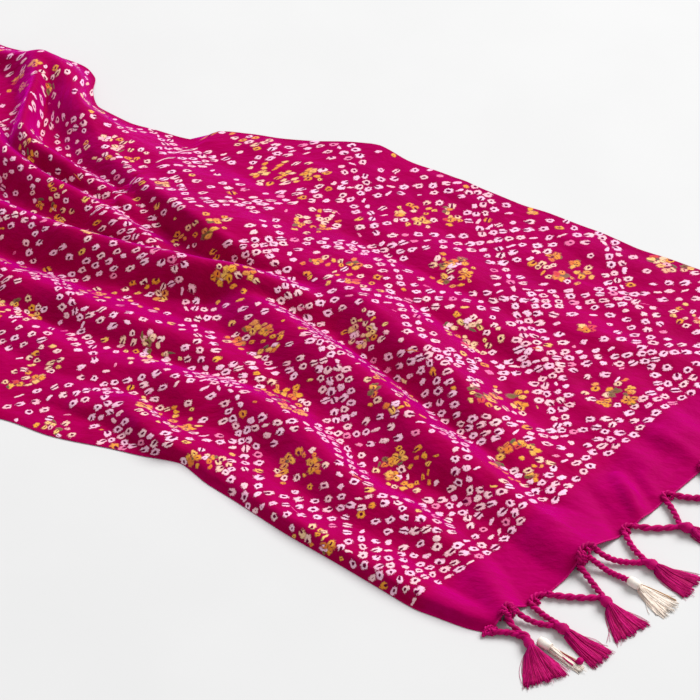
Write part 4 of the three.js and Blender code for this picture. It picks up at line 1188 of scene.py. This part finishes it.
def pink_tassel(name, row, hem, end):
    ya, yb, out, jy, yaw, length, half, bow_a, bow_b = row
    way = math.radians(yaw) if end > 0 else math.pi - math.radians(yaw)
    ahead = np.array([math.cos(way), math.sin(way), 0.0])
    across = np.array([-math.sin(way), math.cos(way), 0.0])
    join = hem_place(hem, end, out, jy, 3.9)
    y = Yarns()
    for k, (start, bow) in enumerate(((ya, bow_a), (yb, bow_b))):
        a = hem_place(hem, end, 2.0, start, max(4.2, hem_height(hem, end, start) * 0.6 + 2.0))
        side = 1 if (start > jy) else -1
        b = join + across * side * 1.4
        pts = [a]
        for t in (0.22, 0.45, 0.7, 0.9):
            p = a + (b - a) * t
            p[1] += bow * math.sin(math.pi * t)
            p[2] = 3.9 + (a[2] - 3.9) * (1 - t) ** 3 + (0.9 if k else 0.0) * ease((t - 0.5) * 2)
            pts.append(p)
        pts.append(b + np.array([0, 0, 0.9 if k else 0.0]))
        pts.append(join + ahead * 3.6 - across * side * 0.9 + np.array([0, 0, 0.6]))
        loose = spin.random() < 0.50
        rope(y, pts, spin.uniform(18, 25) if loose else spin.uniform(11, 14.5), 2.05 if loose else 1.98, 1.55 if loose else 1.35, 2, spin.uniform(0, 6.28), 0.10)
    rope(y, [join + ahead * -1.0 + (0, 0, 0.5), join + ahead * 2 + (0, 0, 0.6), join + ahead * 5 + (0, 0, 0.9), join + ahead * 7.5 + (0, 0, 1.2)], 15, 2.7, 1.6, 2, spin.uniform(0, 6))
    head = join.copy()
    big = spin.uniform(0.92, 1.04) * (0.84 if half > 22 else 1.0)  # the fullest one is hardly drawn in at its head
    head[2] = 5.7 * big
    wound(y, head, way, [(1.6, 2.9), (3.4, 3.7), (6.0, 5.1 * big), (8.8, 5.8 * big), (11.6, 5.2 * big), (14.2, 3.9), (16.2, 3.6)], 2.6, 0.30, 0, spin.uniform(0.4, 0.6), 20, 0.95)
    neck = join + ahead * 14.0
    neck[2] = 0.0
    skirt(y, neck, way, length + 1.0, half, 120 + int(3.6 * half), 4.6, stray=0.15)
    o = y.made(name, [pink])
    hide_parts(name)
    return o


def cream_tassel(name, row, hem, end, knotted):
    ys, s0, out, by, yaw, length, half = row
    way = math.radians(yaw) if end > 0 else math.pi - math.radians(yaw)
    ahead = np.array([math.cos(way), math.sin(way), 0.0])
    across = np.array([-math.sin(way), math.cos(way), 0.0])
    bead = hem_place(hem, end, out, by, 0.0)
    y = Yarns()
    a = hem_place(hem, end, s0 - (0.0 if s0 > 10 else 1.0), ys, 4.0 if s0 > 10 else max(4.2, hem_height(hem, end, ys) * 0.6 + 2.0))
    b = bead - ahead * 5.0 + (0, 0, 4.4)
    mid = (a + b) / 2
    mid[2] = 3.7
    rope(y, [a, (a * 2 + mid) / 3, mid, (mid + b * 2) / 3 + (0, 0, -0.2), b], 9.8, 1.72, 1.55, 2, spin.uniform(0, 6), kind=1)
    head = bead.copy()
    head[2] = 5.0
    wound(y, head, way, [(-7.2, 2.2), (-6.2, 3.9), (-3.4, 4.9), (0.4, 5.0), (4.0, 4.5), (6.4, 3.4), (7.4, 2.8)], 3.4, 0.26, 0, 1.0, 20, 0.96)
    # two bindings of thin thread, where it is drawn in
    for at, r in ((6.3, 3.7), (-6.0, 4.0)):
        ring = [bead + ahead * (at + 0.5 * k / 12) + across * (r * math.cos(2 * math.pi * k / 12)) + (0, 0, max(0.6, 5.1 + r * math.sin(2 * math.pi * k / 12))) for k in range(25)]
        y.tube(placed(ring), 0.0004, 5, 0.75, 0)
    neck = bead + ahead * 6.8
    skirt(y, neck, way, length + 0.6, half, 80 + int(6 * half), 3.1, 0, (0.45, 1.0), 0.20, (0.42, 0.68), 4.2, half > 8, 0.12)
    # one ochre strand along the side, and on one of them pink ends with a small knot
    line = [neck + ahead * (length * t * 0.96) + across * (half * (0.35 + 0.55 * t) * (1 if end > 0 else -1)) + (0, 0, 3.6 + 2.2 * t - 3.2 * t * t) for t in np.linspace(0, 1, 9)]
    y.tube(placed(line), 0.00055, 6, 0.3, 2)
    if knotted:
        for k, lean in enumerate((0.15, 0.55, -0.2)):
            line = [neck + ahead * (length * t * (0.92 - 0.05 * k)) + across * (half * lean * (0.3 + 0.8 * t) + 1.4 * math.sin(2.6 * t + k)) + (0, 0, 4.2 - 1.6 * t) for t in np.linspace(0, 1, 10)]
            y.tube(placed(line), 0.00080, 6, 0.15 + 0.2 * k, 1)
        tip = neck + ahead * (length * 0.90) + across * (half * 0.95) + (0, 0, 4.3)
        wound(y, tip, way, [(-3.4, 1.0), (-2.0, 3.0), (0.4, 3.7), (2.6, 2.6), (3.6, 1.0)], 2.0, 0.3, 1, 0.5, 12, 0.95)
    o = y.made(name, [cream, pink, ochre])
    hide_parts(name)
    return o


def hem_knots(name, tassels, hem, end, heavy):
    """Where the cords of neighbouring tassels pass through the hem: a bight over its edge and some turns of yarn."""
    y = Yarns()
    ends = sorted([r[0] for r in tassels] + [r[1] for r in tassels])
    places = [(ends[0], ends[0])] + [(ends[k], ends[k + 1]) for k in range(1, len(ends) - 1, 2)] + [(ends[-1], ends[-1])]
    for k, (y0, y1) in enumerate(places):
        mid, gap = (y0 + y1) / 2, max(y1 - y0, 5.0)
        hz = hem_height(hem, end, mid)
        if y1 > y0:
            inset = 0.18 * gap
            pts = [hem_place(hem, end, 3.2, y0, max(4.0, hz * 0.6 + 2)), hem_place(hem, end, -0.6, y0 + inset * 0.6, hz + 2.8), hem_place(hem, end, -4.0, mid - gap * 0.14, hz + 3.5),
                   hem_place(hem, end, -4.0, mid + gap * 0.14, hz + 3.6), hem_place(hem, end, -0.6, y1 - inset * 0.6, hz + 2.8), hem_place(hem, end, 3.2, y1, max(4.0, hz * 0.6 + 2))]
            rope(y, pts, 10.5, 1.5, 1.2, 2, spin.uniform(0, 6))
        turns = 4 if k in heavy else 1
        for n in range(turns):
            # each turn leans its own way round the edge
            c = mid + spin.uniform(-0.5, 0.5) * (gap * (1.15 if k in heavy else 0.7))
            lean, r_out, top = spin.gauss(0, 2.6), spin.uniform(3.4, 5.6 if k in heavy else 4.4), hz + spin.uniform(1.8, 3.6 if k in heavy else 2.6)
            loop = []
            for a in np.linspace(-0.55 * math.pi, 1.35 * math.pi, 13):
                z = (top + 0.8) / 2 + (top - 0.8) / 2 * math.sin(a)
                loop.append(hem_place(hem, end, 0.6 + r_out * math.cos(a), c + lean * math.sin(a * 0.5), max(1.4, z)))
            rope(y, loop, 6.5, 0.95, 0.8, 2, spin.uniform(0, 6), shade=(0.35, 0.85), sides=6)
        if k in heavy:
            for n in range(3):
                c = mid + spin.uniform(-0.6, 0.6) * gap
                loop = [hem_place(hem, end, spin.uniform(-4.5, 4.5), c + spin.uniform(-5, 5), max(1.4, hz * 0.7 + spin.uniform(0.5, 4.0))) for _ in range(5)]
                rope(y, loop, 6.0, 1.0, 0.9, 2, spin.uniform(0, 6), shade=(0.35, 0.9), sides=6)
        for _ in range(3):  # short fluff
            c = hem_place(hem, end, spin.uniform(-3, 3), mid + spin.uniform(-0.6, 0.6) * gap, hz + 1.5)
            y.tube(placed([c, c + (spin.gauss(0, 2), spin.gauss(0, 2), spin.uniform(0.8, 2.2)), c + (spin.gauss(0, 4), spin.gauss(0, 4), spin.uniform(0.5, 3.0))]), 0.00018, 3, 0.9, 0)
    o = y.made(name, [pink])
    return o


def hem_roll(name, line, radius, ridge, pitch, material, sides=8, step=0.0007, flat=0.85):
    """A rolled and oversewn edge along a line of points in metres."""
    line = np.asarray(line, float)
    run = np.concatenate([[0], np.cumsum(np.linalg.norm(np.diff(line, axis=0), axis=1))])
    ts = np.linspace(0, run[-1], max(8, int(run[-1] / step)))
    path = np.stack([np.interp(ts, run, line[:, c]) for c in range(3)], 1)
    path[:, 2] = np.maximum(path[:, 2], radius * flat + 0.0001)
    r = radius + ridge * (np.abs(np.sin(np.pi * ts / pitch)) - 0.5) + ridge * 0.6 * np.sin(ts * 700) * np.sin(ts * 173)
    y = Yarns()
    y.tube(path, r, sides, 0.45, 0, True, (0, 0, 1), flat)
    o = y.made(name, [material])
    return o


curve_a = lambda y: hem_a(np.asarray(y, float))
curve_b = lambda y: hem_b(np.asarray(y, float))
for letter, hem, end, pinks, creams in (("a", curve_a, 1, FRINGE_A, CREAM_A), ("b", curve_b, -1, FRINGE_B, CREAM_B)):
    for i, row in enumerate(pinks):
        pink_tassel(f"tassel_{letter}{i + 1:02d}", row, hem, end)
    for i, row in enumerate(creams):
        cream_tassel(f"cream_{letter}{i + 1}", row, hem, end, i == 0)
    hem_knots(f"hem_knots_{letter}", pinks, hem, end, (0, 1, 3) if end > 0 else (0, 5))
inner = lambda p, q: p * 0.75 + q * 0.25
for name, line in (("end_hem_a", cloth_top[0]), ("end_hem_b", cloth_top[-1])):
    roll = hem_roll(name, line - (0, 0, THIN / 2), 0.00100, 0.00030, 0.0031, pink)
for name, line in (("side_hem_near", cloth_top[:, 0]), ("side_hem_far", cloth_top[:, -1])):
    roll = hem_roll(name, line - (0, 0, THIN / 2), 0.00040, 0.00005, 0.0042, rolled, 6, 0.003, 0.9)
